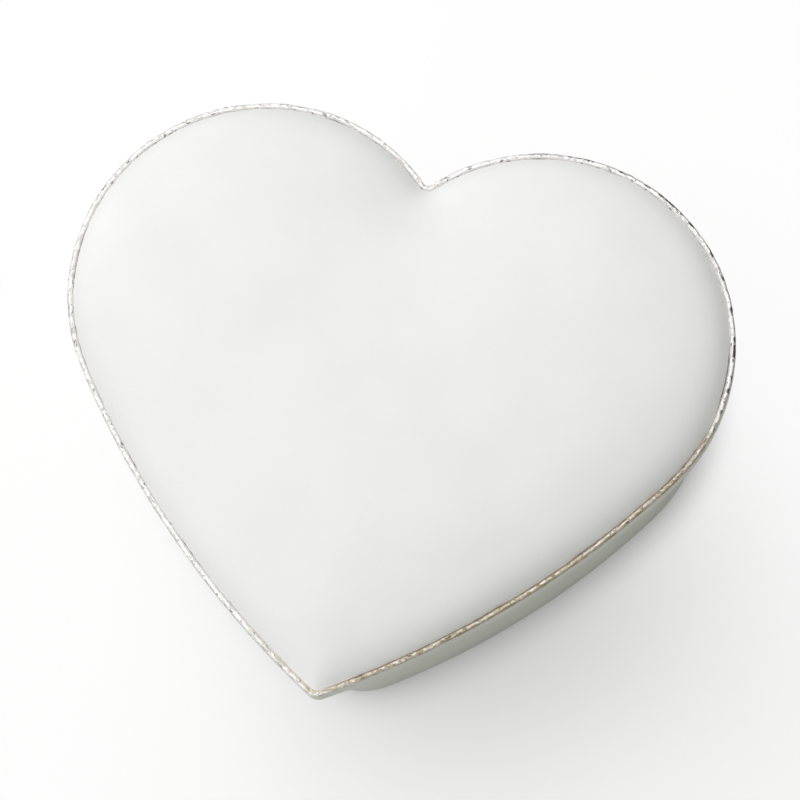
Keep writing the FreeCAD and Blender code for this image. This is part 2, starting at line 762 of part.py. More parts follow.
# The hinges, drawn about their own axis.
def build_hinge(side, sign):
    at = (f"{sign} * lobe_spread", "hinge_y", "hinge_z")
    half = "(hinge_length / 2)"
    middle = "(knuckle_length / 2)"
    inner = "(knuckle_length / 2 + knuckle_gap)"
    bore = "pin_radius + pin_clearance"
    drop = "lid_gap / 2"
    body_leaf = new_body(side + "_hinge_body_leaf", *at)
    plate = new_sketch(body_leaf, height=f"-({drop}) - leaf_thickness")
    draw_polygon(plate, [
        (f"-{half}", "leaf_front"), (half, "leaf_front"), (half, "leaf_back"), (middle, "leaf_back"),
        (middle, "0"), (f"-{middle}", "0"), (f"-{middle}", "leaf_back"), (f"-{half}", "leaf_back"),
    ])
    pad(body_leaf, plate, "leaf_thickness")
    add_round(body_leaf, "0", "0", "knuckle_radius", f"-{middle}", "knuckle_length", "YZ_Plane")
    cut_hole(body_leaf, "0", "0", bore, middle, "knuckle_length", "YZ_Plane")
    lid_leaf = new_body(side + "_hinge_lid_leaf", *at)
    plate = new_sketch(lid_leaf, height=drop)
    draw_polygon(plate, [
        (f"-{half}", "leaf_front"), (half, "leaf_front"), (half, "0"), (inner, "0"),
        (inner, "leaf_back"), (f"-{inner}", "leaf_back"), (f"-{inner}", "0"), (f"-{half}", "0"),
    ])
    pad(lid_leaf, plate, "leaf_thickness")
    for start in (f"-{half}", inner):
        add_round(lid_leaf, "0", "0", "knuckle_radius", start, f"{half} - {inner}", "YZ_Plane")
    cut_hole(lid_leaf, "0", "0", bore, half, "hinge_length", "YZ_Plane")
    for leaf, top in ((body_leaf, f"-({drop})"), (lid_leaf, f"{drop} + leaf_thickness")):
        for end in ("-1", "1"):
            cut_hole(leaf, f"{end} * hinge_screw_spread / 2", "leaf_middle", "hinge_screw_head", top,
                     "leaf_thickness")
    pin = new_body(side + "_hinge_pin", *at)
    add_round(pin, "0", "0", "pin_radius", f"-{half}", "hinge_length", "YZ_Plane")


def hinge_screw(name, x, y, seat, direction):
    """A countersunk screw: its head fills the leaf, its shank goes on into the board behind."""
    upper = direction == "up"
    head_floor = seat if upper else f"{seat} - leaf_thickness"
    radii = ["hinge_screw_head", "hinge_screw_radius"]
    if not upper:
        radii.reverse()
    shank_floor = f"{seat} + leaf_thickness" if upper else f"{seat} - leaf_thickness - hinge_screw_length"
    head = cone(name + "_head", *radii, "leaf_thickness", x, y, head_floor)
    shank = cylinder(name + "_shank", "hinge_screw_radius", "hinge_screw_length", x, y, shank_floor)
    return fuse(name, [head, shank])


def build_hinges():
    for side, sign in SIDES.items():
        build_hinge(side, sign)
    for label, seat, direction in (("body", "body_height", "down"), ("lid", "lid_floor", "up")):
        screws = []
        for side, sign in SIDES.items():
            for number, (x, y) in enumerate(hinge_screw_places(sign)):
                name = f"{label}_hinge_screw_{side}_{number}"
                screws.append(hinge_screw(name, x, y, seat, direction))
        group(label + "_hinge_screws", screws)


# The bedplate, the comb and their screws.
def bed_screw_places():
    yield "bed_screw_left", "bed_screw_front"
    yield "bed_screw_right", "bed_screw_front"
    yield "bed_screw_right", "bed_screw_back"


def comb_screw_places():
    for end in ("-1", "1"):
        yield f"comb_middle + {end} * comb_screw_spread / 2", "(comb_front + comb_heel) / 2"


def build_bedplate():
    bed = new_body("bedplate")
    outline = new_sketch(bed, height="base_top")
    ear = "ear_width / 2"
    draw_polygon(outline, [
        ("bed_left", "bed_front"), ("bed_right", "bed_front"), ("bed_right", "bed_back"),
        (f"barrel_x + {ear}", "bed_back"), (f"barrel_x + {ear}", "ear_back"),
        (f"barrel_x - {ear}", "ear_back"), (f"barrel_x - {ear}", "bed_back"), ("bed_left", "bed_back"),
    ])
    pad(bed, outline, "bed_thickness")
    add_block(bed, "comb_left", "comb_left + comb_width", "comb_front", "comb_heel", "bed_top",
              "comb_z - bed_top")
    cut_hole(bed, "barrel_x", "barrel_y", "arbor_radius + arbor_clearance", "bed_top", "bed_thickness")
    for x, y in comb_screw_places():
        cut_hole(bed, x, y, "cheese_radius", "comb_z + comb_thickness", "cheese_length + fit_gap")
    for x, y in bed_screw_places():
        cut_hole(bed, x, y, "bed_screw_radius", "bed_top", "bed_thickness")
    for x, y in bridge_screw_places():
        cut_hole(bed, x, y, "cheese_radius", "bed_top", "bed_thickness")
    for x, y, _ in governor_screw_places():
        cut_hole(bed, x, y, "cheese_radius", "bed_top", "bed_thickness")
    cut_hole(bed, "rod_x", "worm_y", "rod_radius + guide_wall", "bed_top", "bed_thickness")
    screws = []
    for number, (x, y) in enumerate(bed_screw_places()):
        head_floor = "felt_floor - bed_screw_head_height"
        name = f"bed_screw_{number}"
        head = cylinder(name + "_head", "bed_screw_head", "bed_screw_head_height", x, y, head_floor)
        shank = cylinder(name + "_shank", "bed_screw_radius", "bed_screw_length", x, y, "felt_floor")
        screws.append(fuse(name, [head, shank]))
    group("movement_screws", screws)


def build_comb():
    comb = new_body("comb")
    heel = new_sketch(comb, height="comb_z")
    draw_polygon(heel, [
        ("comb_left", "comb_front"), ("comb_left + comb_width", "comb_front"),
        ("comb_left + comb_width", "comb_heel + comb_slant"), ("comb_left", "comb_heel"),
    ])
    pad(comb, heel, "comb_thickness")
    for x, y in comb_screw_places():
        cut_hole(comb, x, y, "cheese_radius", "comb_z + comb_thickness", "comb_thickness")
    half = "comb_tooth_width / 2"
    tooth = add_block(comb, f"comb_first_x - {half}", f"comb_first_x + {half}", "comb_heel - fit_gap",
                      "comb_tip", "arbor_z - comb_tooth_thickness / 2", "comb_tooth_thickness")
    repeat_along(comb, tooth, "X_Axis", "(comb_teeth - 1) * comb_pitch", "comb_teeth")
    screws = []
    for number, (x, y) in enumerate(comb_screw_places()):
        screws.append(cheese_screw(f"comb_screw_{number}", x, y, "comb_z + comb_thickness", "cheese_length"))
    group("comb_screws", screws)


# Toothed wheels.
def draw_tooth(sketch, root, tip, root_width, tip_width):
    draw_polygon(sketch, [
        (f"-({root_width}) / 2", root), (f"({root_width}) / 2", root),
        (f"({tip_width}) / 2", tip), (f"-({tip_width}) / 2", tip),
    ])


def spur_wheel(label, x, y, left, face, module, teeth, bore=None):
    """A toothed wheel on an axis along X, with a tooth pointing up before the wheel is turned."""
    wheel = new_body(label, x, y, "arbor_z")
    pitch = f"({module} * {teeth} / 2)"
    root = f"{pitch} - tooth_depth * {module}"
    add_round(wheel, "0", "0", root, left, face, "YZ_Plane")
    sketch = new_sketch(wheel, "YZ_Plane", left)
    draw_tooth(sketch, f"{root} - tooth_bite * {module}", f"{pitch} + tooth_rise * {module}",
               f"tooth_root_width * {module}", f"tooth_tip_width * {module}")
    tooth = pad(wheel, sketch, face)
    repeat_round(wheel, tooth, "X_Axis", teeth)
    if bore:
        wheel.Tip = cut_hole(wheel, "0", "0", bore, f"{left} + {face}", face, "YZ_Plane")
    return wheel


# The spring barrel, the spring and the winding parts, drawn about the barrel's axis.
def barrel_body(label):
    return new_body(label, "barrel_x", "barrel_y", "0")


def build_barrel():
    drum = barrel_body("spring_barrel")
    add_round(drum, "0", "0", "barrel_radius", "barrel_floor", "crown_disc_floor - barrel_floor")
    cut_hole(drum, "0", "0", "barrel_radius - barrel_wall", "crown_disc_floor",
             "crown_disc_floor - barrel_inside")
    cut_hole(drum, "0", "0", "arbor_radius + arbor_clearance", "barrel_inside", "barrel_bottom")
    crown = barrel_body("crown_wheel")
    add_round(crown, "0", "0", "barrel_radius", "crown_disc_floor", "crown_thickness")
    cut_hole(crown, "0", "0", "arbor_radius + arbor_clearance", "crown_floor", "crown_thickness")
    ends = []
    for level, width in (("crown_floor", "crown_root_width"), ("crown_top", "crown_tip_width")):
        sketch = new_sketch(crown, height=level)
        draw_rectangle(sketch, "crown_radius - crown_face / 2", "crown_radius + crown_face / 2",
                       f"-{width} / 2", f"{width} / 2")
        ends.append(sketch)
    tooth = loft(crown, ends)
    repeat_round(crown, tooth, "Z_Axis", "crown_teeth")
    turn(crown, Vector(0, 0, 1), "180 / crown_teeth")
    spring = doc.addObject("Part::Feature", "mainspring")
    spring.Label = "mainspring"
    spring.Shape = wound_strip()
    spring.Placement.Base = Vector(value("barrel_x"), value("barrel_y"), value("barrel_inside + spring_gap"))
    nodes.append(spring)


def wound_strip():
    """The mainspring: a strip wound in half circles, each a half pitch larger than the one before."""
    strip = value("spring_strip")
    pitch = value("spring_pitch")
    height = value("crown_disc_floor - barrel_inside - 2 * spring_gap")
    outermost = value("barrel_radius - barrel_wall - fit_gap - spring_strip / 2")
    turns = SIZES["spring_half_turns"]
    first = outermost - turns * pitch / 2

    def half_circle(number, offset):
        radius = first + number * pitch / 2 + offset
        middle = pitch / 2 if number % 2 else 0
        away = -1 if number % 2 else 1
        points = [Vector(middle + away * radius, 0, 0), Vector(middle, away * radius, 0),
                  Vector(middle - away * radius, 0, 0)]
        return points

    inner = [half_circle(number, -strip / 2) for number in range(turns)]
    outer = [half_circle(number, strip / 2) for number in range(turns)]
    edges = [Part.Arc(*points).toShape() for points in inner]
    edges.append(Part.LineSegment(inner[-1][2], outer[-1][2]).toShape())
    edges += [Part.Arc(*reversed(points)).toShape() for points in reversed(outer)]
    edges.append(Part.LineSegment(outer[0][0], inner[0][0]).toShape())
    return Part.Face(Part.Wire(edges)).extrude(Vector(0, 0, height))


def build_winding():
    arbor = barrel_body("winding_arbor")
    add_round(arbor, "0", "0", "arbor_radius", "key_foot + key_socket_floor",
              "bridge_floor - fit_gap - key_foot - key_socket_floor")
    add_round(arbor, "0", "0", "arbor_core_radius", "barrel_inside + spring_gap",
              "crown_disc_floor - barrel_inside - 2 * spring_gap")
    add_round(arbor, "0", "0", "arbor_pivot_radius", "crown_floor", "ratchet_top - crown_floor")
    key = barrel_body("winding_key")
    wing = new_sketch(key, "XZ_Plane")
    draw_circle(wing, "key_wing_reach", "key_wing_z", "key_wing_radius")
    draw_circle(wing, "key_wing_reach", "key_wing_z", "key_wing_hole")
    one_wing = pad(key, wing, "key_wing_thickness", symmetric=True)
    mirror_across(key, [one_wing], "YZ_Plane")
    add_round(key, "0", "0", "key_hub_radius", "key_foot", "key_top - key_foot")
    cut_hole(key, "0", "0", "arbor_radius", "key_top", "key_top - key_foot - key_socket_floor")
    escutcheon = barrel_body("key_escutcheon")
    ring = new_sketch(escutcheon, height="felt_floor - escutcheon_thickness")
    draw_circle(ring, "0", "0", "escutcheon_radius")
    draw_circle(ring, "0", "0", "arbor_radius + arbor_clearance")
    pad(escutcheon, ring, "escutcheon_thickness")
    ratchet = barrel_body("ratchet_wheel")
    add_round(ratchet, "0", "0", "ratchet_radius - ratchet_depth", "ratchet_floor", "ratchet_thickness")
    saw = new_sketch(ratchet, height="ratchet_floor")
    step = "360 / ratchet_teeth"
    root = "(ratchet_radius - ratchet_depth - ratchet_bite)"
    heel = (f"{root} * cos({step})", f"{root} * sin({step})")
    draw_polygon(saw, [(root, "0"), ("ratchet_radius", "0"), heel])
    tooth = pad(ratchet, saw, "ratchet_thickness")
    repeat_round(ratchet, tooth, "Z_Axis", "ratchet_teeth")
    ratchet.Tip = cut_hole(ratchet, "0", "0", "arbor_pivot_radius", "ratchet_top", "ratchet_thickness")
    click = new_body("click", "barrel_x + click_pivot_x", "barrel_y + click_pivot_y", "0")
    arm = new_sketch(click, height="ratchet_floor")
    nose = ("click_nose_x - click_pivot_x", "click_nose_y - click_pivot_y")
    draw_polygon(arm, [
        ("-click_hub_radius", "0"), (nose[0], nose[1]), (f"{nose[0]} + click_nose_width", nose[1]),
        ("click_hub_radius", "0"),
    ])
    pad(click, arm, "ratchet_thickness")
    add_round(click, "0", "0", "click_hub_radius", "ratchet_floor", "ratchet_thickness")
    cut_hole(click, "0", "0", "click_screw_radius + pin_clearance", "ratchet_top", "ratchet_thickness")
    stud_at = ("barrel_x + click_pivot_x", "barrel_y + click_pivot_y")
    shoulder = "ratchet_top + fit_gap"
    stud = cylinder("click_screw_shank", "click_screw_radius", f"{shoulder} - bridge_floor", *stud_at,
                    "bridge_floor")
    head = cylinder("click_screw_head", "click_screw_head", "click_screw_head_height", *stud_at, shoulder)
    group("click_screw", [fuse("click_screw_whole", [stud, head])])


def bridge_screw_places():
    for end in ("-1", "1"):
        yield "barrel_x", f"barrel_y + {end} * post_reach"


def build_bridge():
    """The bridge over the barrel: two posts and a bar, with bearings for the arbor's top and the cylinder."""
    bridge = barrel_body("barrel_bridge")
    half = "bridge_width / 2"
    reach = "(post_reach + post_radius)"
    bearing = "bearing_width / 2"
    bar = new_sketch(bridge, height="bridge_floor")
    draw_polygon(bar, [
        (f"-{half}", f"-{reach}"), (half, f"-{reach}"), (half, f"-{bearing}"),
        ("bearing_right", f"-{bearing}"), ("bearing_right", bearing), (half, bearing),
        (half, reach), (f"-{half}", reach),
    ])
    pad(bridge, bar, "bridge_thickness")
    upright = new_sketch(bridge, "YZ_Plane", "bearing_right - bearing_thickness")
    draw_rectangle(upright, f"-{bearing}", bearing, "bridge_floor", "arbor_z + bearing_width / 2")
    pad(bridge, upright, "bearing_thickness")
    for end in ("-1", "1"):
        add_round(bridge, "0", f"{end} * post_reach", "post_radius", "bed_top", "bridge_top - bed_top")
    cut_hole(bridge, "0", "0", "arbor_pivot_radius + arbor_clearance", "bridge_top", "bridge_thickness")
    cut_hole(bridge, "0", "arbor_z", "cylinder_arbor_radius + pin_clearance", "bearing_right",
             "bearing_thickness", "YZ_Plane")
    cut_hole(bridge, "click_pivot_x", "click_pivot_y", "click_screw_radius", "bridge_top", "bridge_thickness")
    screws = []
    for number, (x, y) in enumerate(bridge_screw_places()):
        local_y = f"{('-1', '1')[number]} * post_reach"
        cut_hole(bridge, "0", local_y, "cheese_radius", "bridge_top", "bridge_top - bed_top")
        screws.append(cheese_screw(f"bridge_screw_{number}", x, y, "bridge_top", "bridge_screw_length"))
    group("bridge_screws", screws)


# The cylinder and its wheels.
def pinned_cylinder():
    """The cylinder with its note pins, spread round each track and turned on from track to track."""
    radius = value("cylinder_radius")
    height = value("note_pin_height")
    width = value("note_pin_width")
    length = value("cylinder_length")
    left = Vector(value("cylinder_left"), 0, 0)
    along = Vector(1, 0, 0)
    drum = Part.makeCylinder(radius, length, left, along)
    drum = drum.cut(Part.makeCylinder(value("cylinder_arbor_radius"), length, left, along))
    each = SIZES["note_pins_each"]
    pins = []
    for track in range(SIZES["comb_teeth"]):
        x = value("comb_first_x") + track * value("comb_pitch")
        for number in range(each):
            note = Part.makeBox(width, width, 2 * height, Vector(x - width / 2, -width / 2, radius - height))
            note.rotate(Vector(x, 0, 0), along, track * value("note_turn") + number * 360 / each)
            pins.append(note)
    return drum.fuse(pins)


def build_cylinder():
    drum = doc.addObject("Part::Feature", "music_cylinder")
    drum.Label = "music_cylinder"
    drum.Shape = pinned_cylinder()
    drum.Placement.Base = Vector(0, value("barrel_y"), value("arbor_z"))
    nodes.append(drum)
    arbor = new_body("cylinder_arbor", "0", "barrel_y", "arbor_z")
    left = "(barrel_x + bearing_right - bearing_thickness)"
    length = f"inner_plate_x + plate_thickness - {left}"
    add_round(arbor, "0", "0", "cylinder_arbor_radius", left, length, "YZ_Plane")
    pinion = spur_wheel("cylinder_pinion", "pinion_x", "barrel_y", "-pinion_face / 2", "pinion_face",
                        "crown_module", "pinion_teeth", "cylinder_arbor_radius")
    turn(pinion, Vector(1, 0, 0), "180")
    gear = spur_wheel("cylinder_gear", "gear_x", "barrel_y", "0", "gear_face", "fine_module", "gear_teeth",
                      "cylinder_arbor_radius")
    turn(gear, Vector(1, 0, 0), "90")


# The governor.
def governor_screw_places():
    """The screw in the frame's foot and the one in the cock's foot, with each foot's thickness."""
    head = "cheese_head + fit_gap"
    yield f"inner_plate_x + plate_thickness + {head}", f"governor_y + plate_margin + {head}", "governor_foot"
    yield "worm_x", "cock_leg_y - cock_thickness - cock_foot / 2", "cock_thickness"


def build_governor():
    frame_body = new_body("governor_frame")
    add_block(frame_body, "inner_plate_x", "frame_right", "worm_y - governor_toe", "barrel_y + plate_margin",
              "bed_top", "governor_foot")
    inner = new_sketch(frame_body, "YZ_Plane", "inner_plate_x")
    low = "governor_y - plate_margin"
    draw_polygon(inner, [
        (low, "bed_top"), ("barrel_y + plate_margin", "bed_top"), ("barrel_y + plate_margin", "plate_top"),
        (low, "plate_top"),
    ])
    pad(frame_body, inner, "plate_thickness")
    outer = new_sketch(frame_body, "YZ_Plane", "outer_plate_x")
    draw_rectangle(outer, low, "governor_y + plate_margin", "bed_top", "plate_top")
    pad(frame_body, outer, "plate_thickness")
    span = "frame_right - inner_plate_x"
    cut_hole(frame_body, "governor_y", "arbor_z", "governor_arbor_radius + pin_clearance", "frame_right",
             span, "YZ_Plane")
    cut_hole(frame_body, "barrel_y", "arbor_z", "cylinder_arbor_radius + pin_clearance",
             "inner_plate_x + plate_thickness", "plate_thickness", "YZ_Plane")
    cut_hole(frame_body, "worm_x", "worm_y", "worm_shaft_radius + pin_clearance", "foot_top",
             "governor_foot / 2")
    arbor = spur_wheel("governor_arbor", "gear_x", "governor_y", "0", "gear_face", "fine_module",
                       "leaf_teeth")
    turn(arbor, Vector(1, 0, 0), "-90 + 180 / leaf_teeth")
    shaft = add_round(arbor, "0", "0", "governor_arbor_radius", "0", "frame_right - gear_x", "YZ_Plane")
    arbor.Tip = shaft
    build_worm_wheel()
    build_worm()
    cock = build_cock()
    screws = []
    for number, (x, y, foot) in enumerate(governor_screw_places()):
        seat = f"(bed_top + {foot})"
        cut_hole((frame_body, cock)[number], x, y, "cheese_radius", seat, foot)
        length = f"{foot} + bed_thickness - fit_gap"
        screws.append(cheese_screw(f"governor_screw_{number}", x, y, seat, length))
    group("governor_screws", screws)


def build_worm_wheel():
    wheel = new_body("worm_wheel", "worm_x", "governor_y", "arbor_z")
    half = "(worm_wheel_face / 2)"
    root = "(worm_wheel_radius - tooth_depth * worm_module)"
    add_round(wheel, "0", "0", root, f"-{half}", "worm_wheel_face", "YZ_Plane")
    slant = f"atan({half} * worm_lead / (2 * pi * worm_radius) / worm_wheel_radius)"
    sunk = f"{root} - tooth_bite * worm_module"
    crest = "worm_wheel_radius + tooth_rise * worm_module"
    ends = []
    for sign in ("-1", "1"):
        sketch = new_sketch(wheel, "YZ_Plane", f"{sign} * {half}")
        draw_tooth(sketch, sunk, crest, "worm_tooth_root", "worm_tooth_tip")
        bind(sketch, "AttachmentOffset.Rotation.Angle", f"{sign} * {slant}")
        ends.append(sketch)
    tooth = loft(wheel, ends)
    repeat_round(wheel, tooth, "X_Axis", "worm_wheel_teeth")
    wheel.Tip = cut_hole(wheel, "0", "0", "governor_arbor_radius", half, "worm_wheel_face", "YZ_Plane")
    turn(wheel, Vector(1, 0, 0), "90")


def build_worm():
    worm = new_body("worm_shaft", "worm_x", "worm_y", "0")
    root = "(worm_radius - tooth_depth * worm_module)"
    add_round(worm, "0", "0", root, "worm_foot - worm_pitch", "worm_length + 2 * worm_pitch")
    add_round(worm, "0", "0", "worm_shaft_radius", "foot_top - governor_foot / 2",
              "cock_floor + cock_thickness - foot_top + governor_foot / 2")
    thread = new_sketch(worm, "YZ_Plane")
    sunk = f"{root} - tooth_bite * worm_module"
    crest = "worm_radius + tooth_rise * worm_module"
    draw_polygon(thread, [
        (sunk, "worm_foot - worm_thread_width / 2"), (crest, "worm_foot - worm_crest / 2"),
        (crest, "worm_foot + worm_crest / 2"), (sunk, "worm_foot + worm_thread_width / 2"),
    ])
    helix = worm.newObject("PartDesign::AdditiveHelix", "worm_thread")
    helix.Profile = thread
    helix.ReferenceAxis = (origin(worm, "Z_Axis"), [""])
    helix.Mode = "pitch-height-angle"
    bind(helix, "Pitch", "worm_lead")
    bind(helix, "Height", "worm_length")
    repeat_round(worm, helix, "Z_Axis", "worm_starts")
    fly = new_body("air_fly", "worm_x", "worm_y", "0")
    add_round(fly, "0", "0", "fly_hub_radius", "fly_floor", "fly_height")
    add_block(fly, "-fly_reach", "fly_reach", "-fly_thickness / 2", "fly_thickness / 2", "fly_floor",
              "fly_height - fly_disc")
    add_round(fly, "0", "0", "fly_reach", "fly_top - fly_disc", "fly_disc")
    cut_hole(fly, "0", "0", "worm_shaft_radius", "fly_top", "fly_height")


def build_cock():
    """A bent strip that stands on the bedplate and reaches over the fly to hold the worm's top pivot."""
    cock = new_body("governor_cock")
    profile = new_sketch(cock, "YZ_Plane", "worm_x")
    back = "cock_leg_y"
    front = "(cock_leg_y - cock_thickness)"
    top = "(cock_floor + cock_thickness)"
    draw_polygon(profile, [
        (f"{front} - cock_foot", "bed_top"), (back, "bed_top"), (back, "cock_floor"),
        ("worm_y + cock_width / 2", "cock_floor"), ("worm_y + cock_width / 2", top), (front, top),
        (front, "bed_top + cock_thickness"), (f"{front} - cock_foot", "bed_top + cock_thickness"),
    ])
    pad(cock, profile, "cock_width", symmetric=True)
    cut_hole(cock, "worm_x", "worm_y", "worm_shaft_radius + pin_clearance", top, "cock_thickness")
    return cock


# The stop rod in its guide.
def build_stop():
    guide = new_body("stop_guide", "rod_x", "worm_y", "0")
    bore = "rod_radius + pin_clearance"
    add_round(guide, "0", "0", "guide_flange", "bed_top", "guide_flange_thickness")
    add_round(guide, "0", "0", "rod_radius + guide_wall", "base_top", "bed_thickness + guide_height")
    cut_hole(guide, "0", "0", bore, "bed_top + guide_height", "guide_height - guide_flange_thickness")
    rod = new_body("stop_rod", "rod_x", "worm_y", "0")
    rod_floor = "(bed_top + guide_flange_thickness + fit_gap)"
    add_round(rod, "0", "0", "rod_radius", rod_floor, f"rod_top - {rod_floor}")
    add_block(rod, "worm_x + finger_overlap - rod_x", "0", "-rod_radius", "rod_radius", "finger_floor",
              "finger_thickness")


build_casing()
build_partition()
build_lid()
build_hinges()
build_bedplate()
build_comb()
build_barrel()
build_winding()
build_bridge()
build_cylinder()
build_governor()
build_stop()
doc.recompute()

# Every object must have come out whole before anything is written.
failed = [thing.Label for thing in doc.Objects if {"Invalid", "Error"} & set(thing.State)]
for node in nodes:
    if node.Shape.isNull() or not node.Shape.isValid():
        failed.append(node.Label)
if failed:
    raise RuntimeError("these did not come out whole: " + ", ".join(failed))

os.makedirs("parts", exist_ok=True)
for node in nodes:
    node.Shape.exportStep(f"parts/{node.Label}.step")
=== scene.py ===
import json
import math

import bpy
from mathutils import Matrix, Vector, noise
from mathutils.kdtree import KDTree


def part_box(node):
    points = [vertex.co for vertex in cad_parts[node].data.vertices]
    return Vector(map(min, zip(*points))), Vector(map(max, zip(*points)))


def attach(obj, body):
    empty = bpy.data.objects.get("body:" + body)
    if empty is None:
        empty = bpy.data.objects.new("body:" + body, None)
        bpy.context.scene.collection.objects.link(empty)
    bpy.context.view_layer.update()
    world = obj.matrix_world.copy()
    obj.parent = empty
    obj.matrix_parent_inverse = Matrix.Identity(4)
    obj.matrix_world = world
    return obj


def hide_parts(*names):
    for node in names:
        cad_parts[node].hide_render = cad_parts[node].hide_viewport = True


# A heart-shaped music box in padded off-white leatherette, with foil piping round its lid. Metres, +Z up,
# the heart's tip towards -Y and the hinges at +Y.
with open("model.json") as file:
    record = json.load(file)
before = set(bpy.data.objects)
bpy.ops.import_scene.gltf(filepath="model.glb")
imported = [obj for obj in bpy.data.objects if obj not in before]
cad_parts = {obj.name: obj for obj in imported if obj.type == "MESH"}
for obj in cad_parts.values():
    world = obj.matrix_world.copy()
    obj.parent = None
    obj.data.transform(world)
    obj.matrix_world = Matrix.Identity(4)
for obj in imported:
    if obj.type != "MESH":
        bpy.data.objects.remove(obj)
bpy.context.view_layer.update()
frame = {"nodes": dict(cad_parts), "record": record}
nodes = frame["nodes"]
MM = 0.001

# The heart, drawn on the line of the piping: six tangent arcs, whose centres all insets share.
LOBE_RADIUS = 34.6 * MM
LOBE_SPREAD = 25.4 * MM
SIDE_RADIUS = 160 * MM
SHOULDER = math.radians(34.6)
TIP_RADIUS = 2 * MM
SMALLEST_TIP = 0.5 * MM
TIP_DRAW = 0.9 * MM
TIP_DRAW_REACH = 30 * MM
NOTCH_RADIUS = 1.5 * MM
SIDE_X = (SIDE_RADIUS - LOBE_RADIUS) * math.cos(SHOULDER) - LOBE_SPREAD
SIDE_RISE = (SIDE_RADIUS - LOBE_RADIUS) * math.sin(SHOULDER)
TIP_DROP = math.sqrt((SIDE_RADIUS - TIP_RADIUS) ** 2 - SIDE_X ** 2) - SIDE_RISE + TIP_RADIUS
LOBE_Y = (TIP_DROP - LOBE_RADIUS) / 2
SIDE_Y = LOBE_Y + SIDE_RISE
NOTCH_Y = LOBE_Y + math.sqrt((LOBE_RADIUS + NOTCH_RADIUS) ** 2 - LOBE_SPREAD ** 2)
NOTCH_TURN = math.atan2(NOTCH_Y - LOBE_Y, LOBE_SPREAD)
ARC_STEPS = {"notch": 3, "lobe": 64, "side": 34, "tip": 8}

# The layers of the case, inwards from the piping's line, and its levels.
BODY_INSET = 3.8 * MM
BODY_TIP = 13 * MM
LEATHER = 0.6 * MM
WALL = 3 * MM
LINING = 0.8 * MM
LINING_INSET = BODY_INSET + LEATHER + WALL
ROOM_INSET = LINING_INSET + LINING
ROOM_TIP = BODY_TIP - LEATHER - WALL - LINING
LID_LINING_INSET = ROOM_INSET + 1.2 * MM
OVERHANG = 0.65 * MM
PIPING_RADIUS = 0.55 * MM
PIPING_SIDES = 14
PIPING_WAVE = 0.09 * MM
PIPING_RIPPLE = 0.04 * MM
PIPING_WAVE_LENGTH = 5 * MM
PIPING_FOLD = 0.5 * MM
PIPING_FOLD_DEPTH = 0.09 * MM
PIPING_DENT = 1.4 * MM
PIPING_DENT_DEPTH = 0.04 * MM
GLUE = 0.01 * MM
CARD_GLUE = 0.02 * MM
TURN_OVER = 2.5 * MM
TURN_IN_ROOM = 0.09 * MM
BOARD_EDGE = 0.4 * MM
LID_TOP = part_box("lid_board")[1].z
LID_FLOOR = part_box("lid_board")[0].z
WALL_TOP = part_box("left_wall")[1].z
BASE_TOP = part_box("base_board")[1].z
HINGE_Y = (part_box("left_hinge_pin")[0].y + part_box("left_hinge_pin")[1].y) / 2
HINGE_CUT_FRONT = 5 * MM
HINGE_CUT_BACK = 1.65 * MM
LID_HINGE_CUT = 5.3 * MM
LID_HINGE_DEPTH = 1.45 * MM
BODY_HINGE_CUT = 5.1 * MM
BODY_HINGE_DEPTH = 0.8 * MM
ARBOR_HOLE = 1.7 * MM


def heart(inset, tip=None, fine=1):
    """The heart's outline, set in from the piping's line, anticlockwise from the middle of the notch.

    Without a tip radius it is the lid's own, with the tip drawn out a little by the leather.
    """
    draw = 0
    if tip is None:
        tip = max(TIP_RADIUS - inset, SMALLEST_TIP)
        draw = TIP_DRAW
    tip_y = SIDE_Y - math.sqrt((SIDE_RADIUS - inset - tip) ** 2 - SIDE_X ** 2)
    tip_turn = math.atan2(SIDE_Y - tip_y, SIDE_X)
    half = math.pi
    lobe, side, notch = LOBE_RADIUS - inset, SIDE_RADIUS - inset, NOTCH_RADIUS + inset
    arcs = (
        ("notch", 0, NOTCH_Y, notch, -half / 2, NOTCH_TURN - half),
        ("lobe", -LOBE_SPREAD, LOBE_Y, lobe, NOTCH_TURN, half + SHOULDER),
        ("side", SIDE_X, SIDE_Y, side, half + SHOULDER, half + tip_turn),
        ("tip", 0, tip_y, tip, half + tip_turn, 2 * half - tip_turn),
        ("side", -SIDE_X, SIDE_Y, side, -tip_turn, -SHOULDER),
        ("lobe", LOBE_SPREAD, LOBE_Y, lobe, -SHOULDER, half - NOTCH_TURN),
        ("notch", 0, NOTCH_Y, notch, -NOTCH_TURN, -half / 2),
    )
    points = []
    for kind, x, y, radius, start, end in arcs:
        steps = ARC_STEPS[kind] * fine
        for step in range(steps):
            turn = start + (end - start) * step / steps
            points.append((x + radius * math.cos(turn), y + radius * math.sin(turn)))
    low = tip_y - tip
    return [(x, y - draw * max(1 - (y - low) / TIP_DRAW_REACH, 0) ** 2) for x, y in points]


def outline_length(outline):
    """The length all round a closed outline."""
    return sum(math.dist(point, before) for point, before in zip(outline, outline[1:] + outline[:1]))


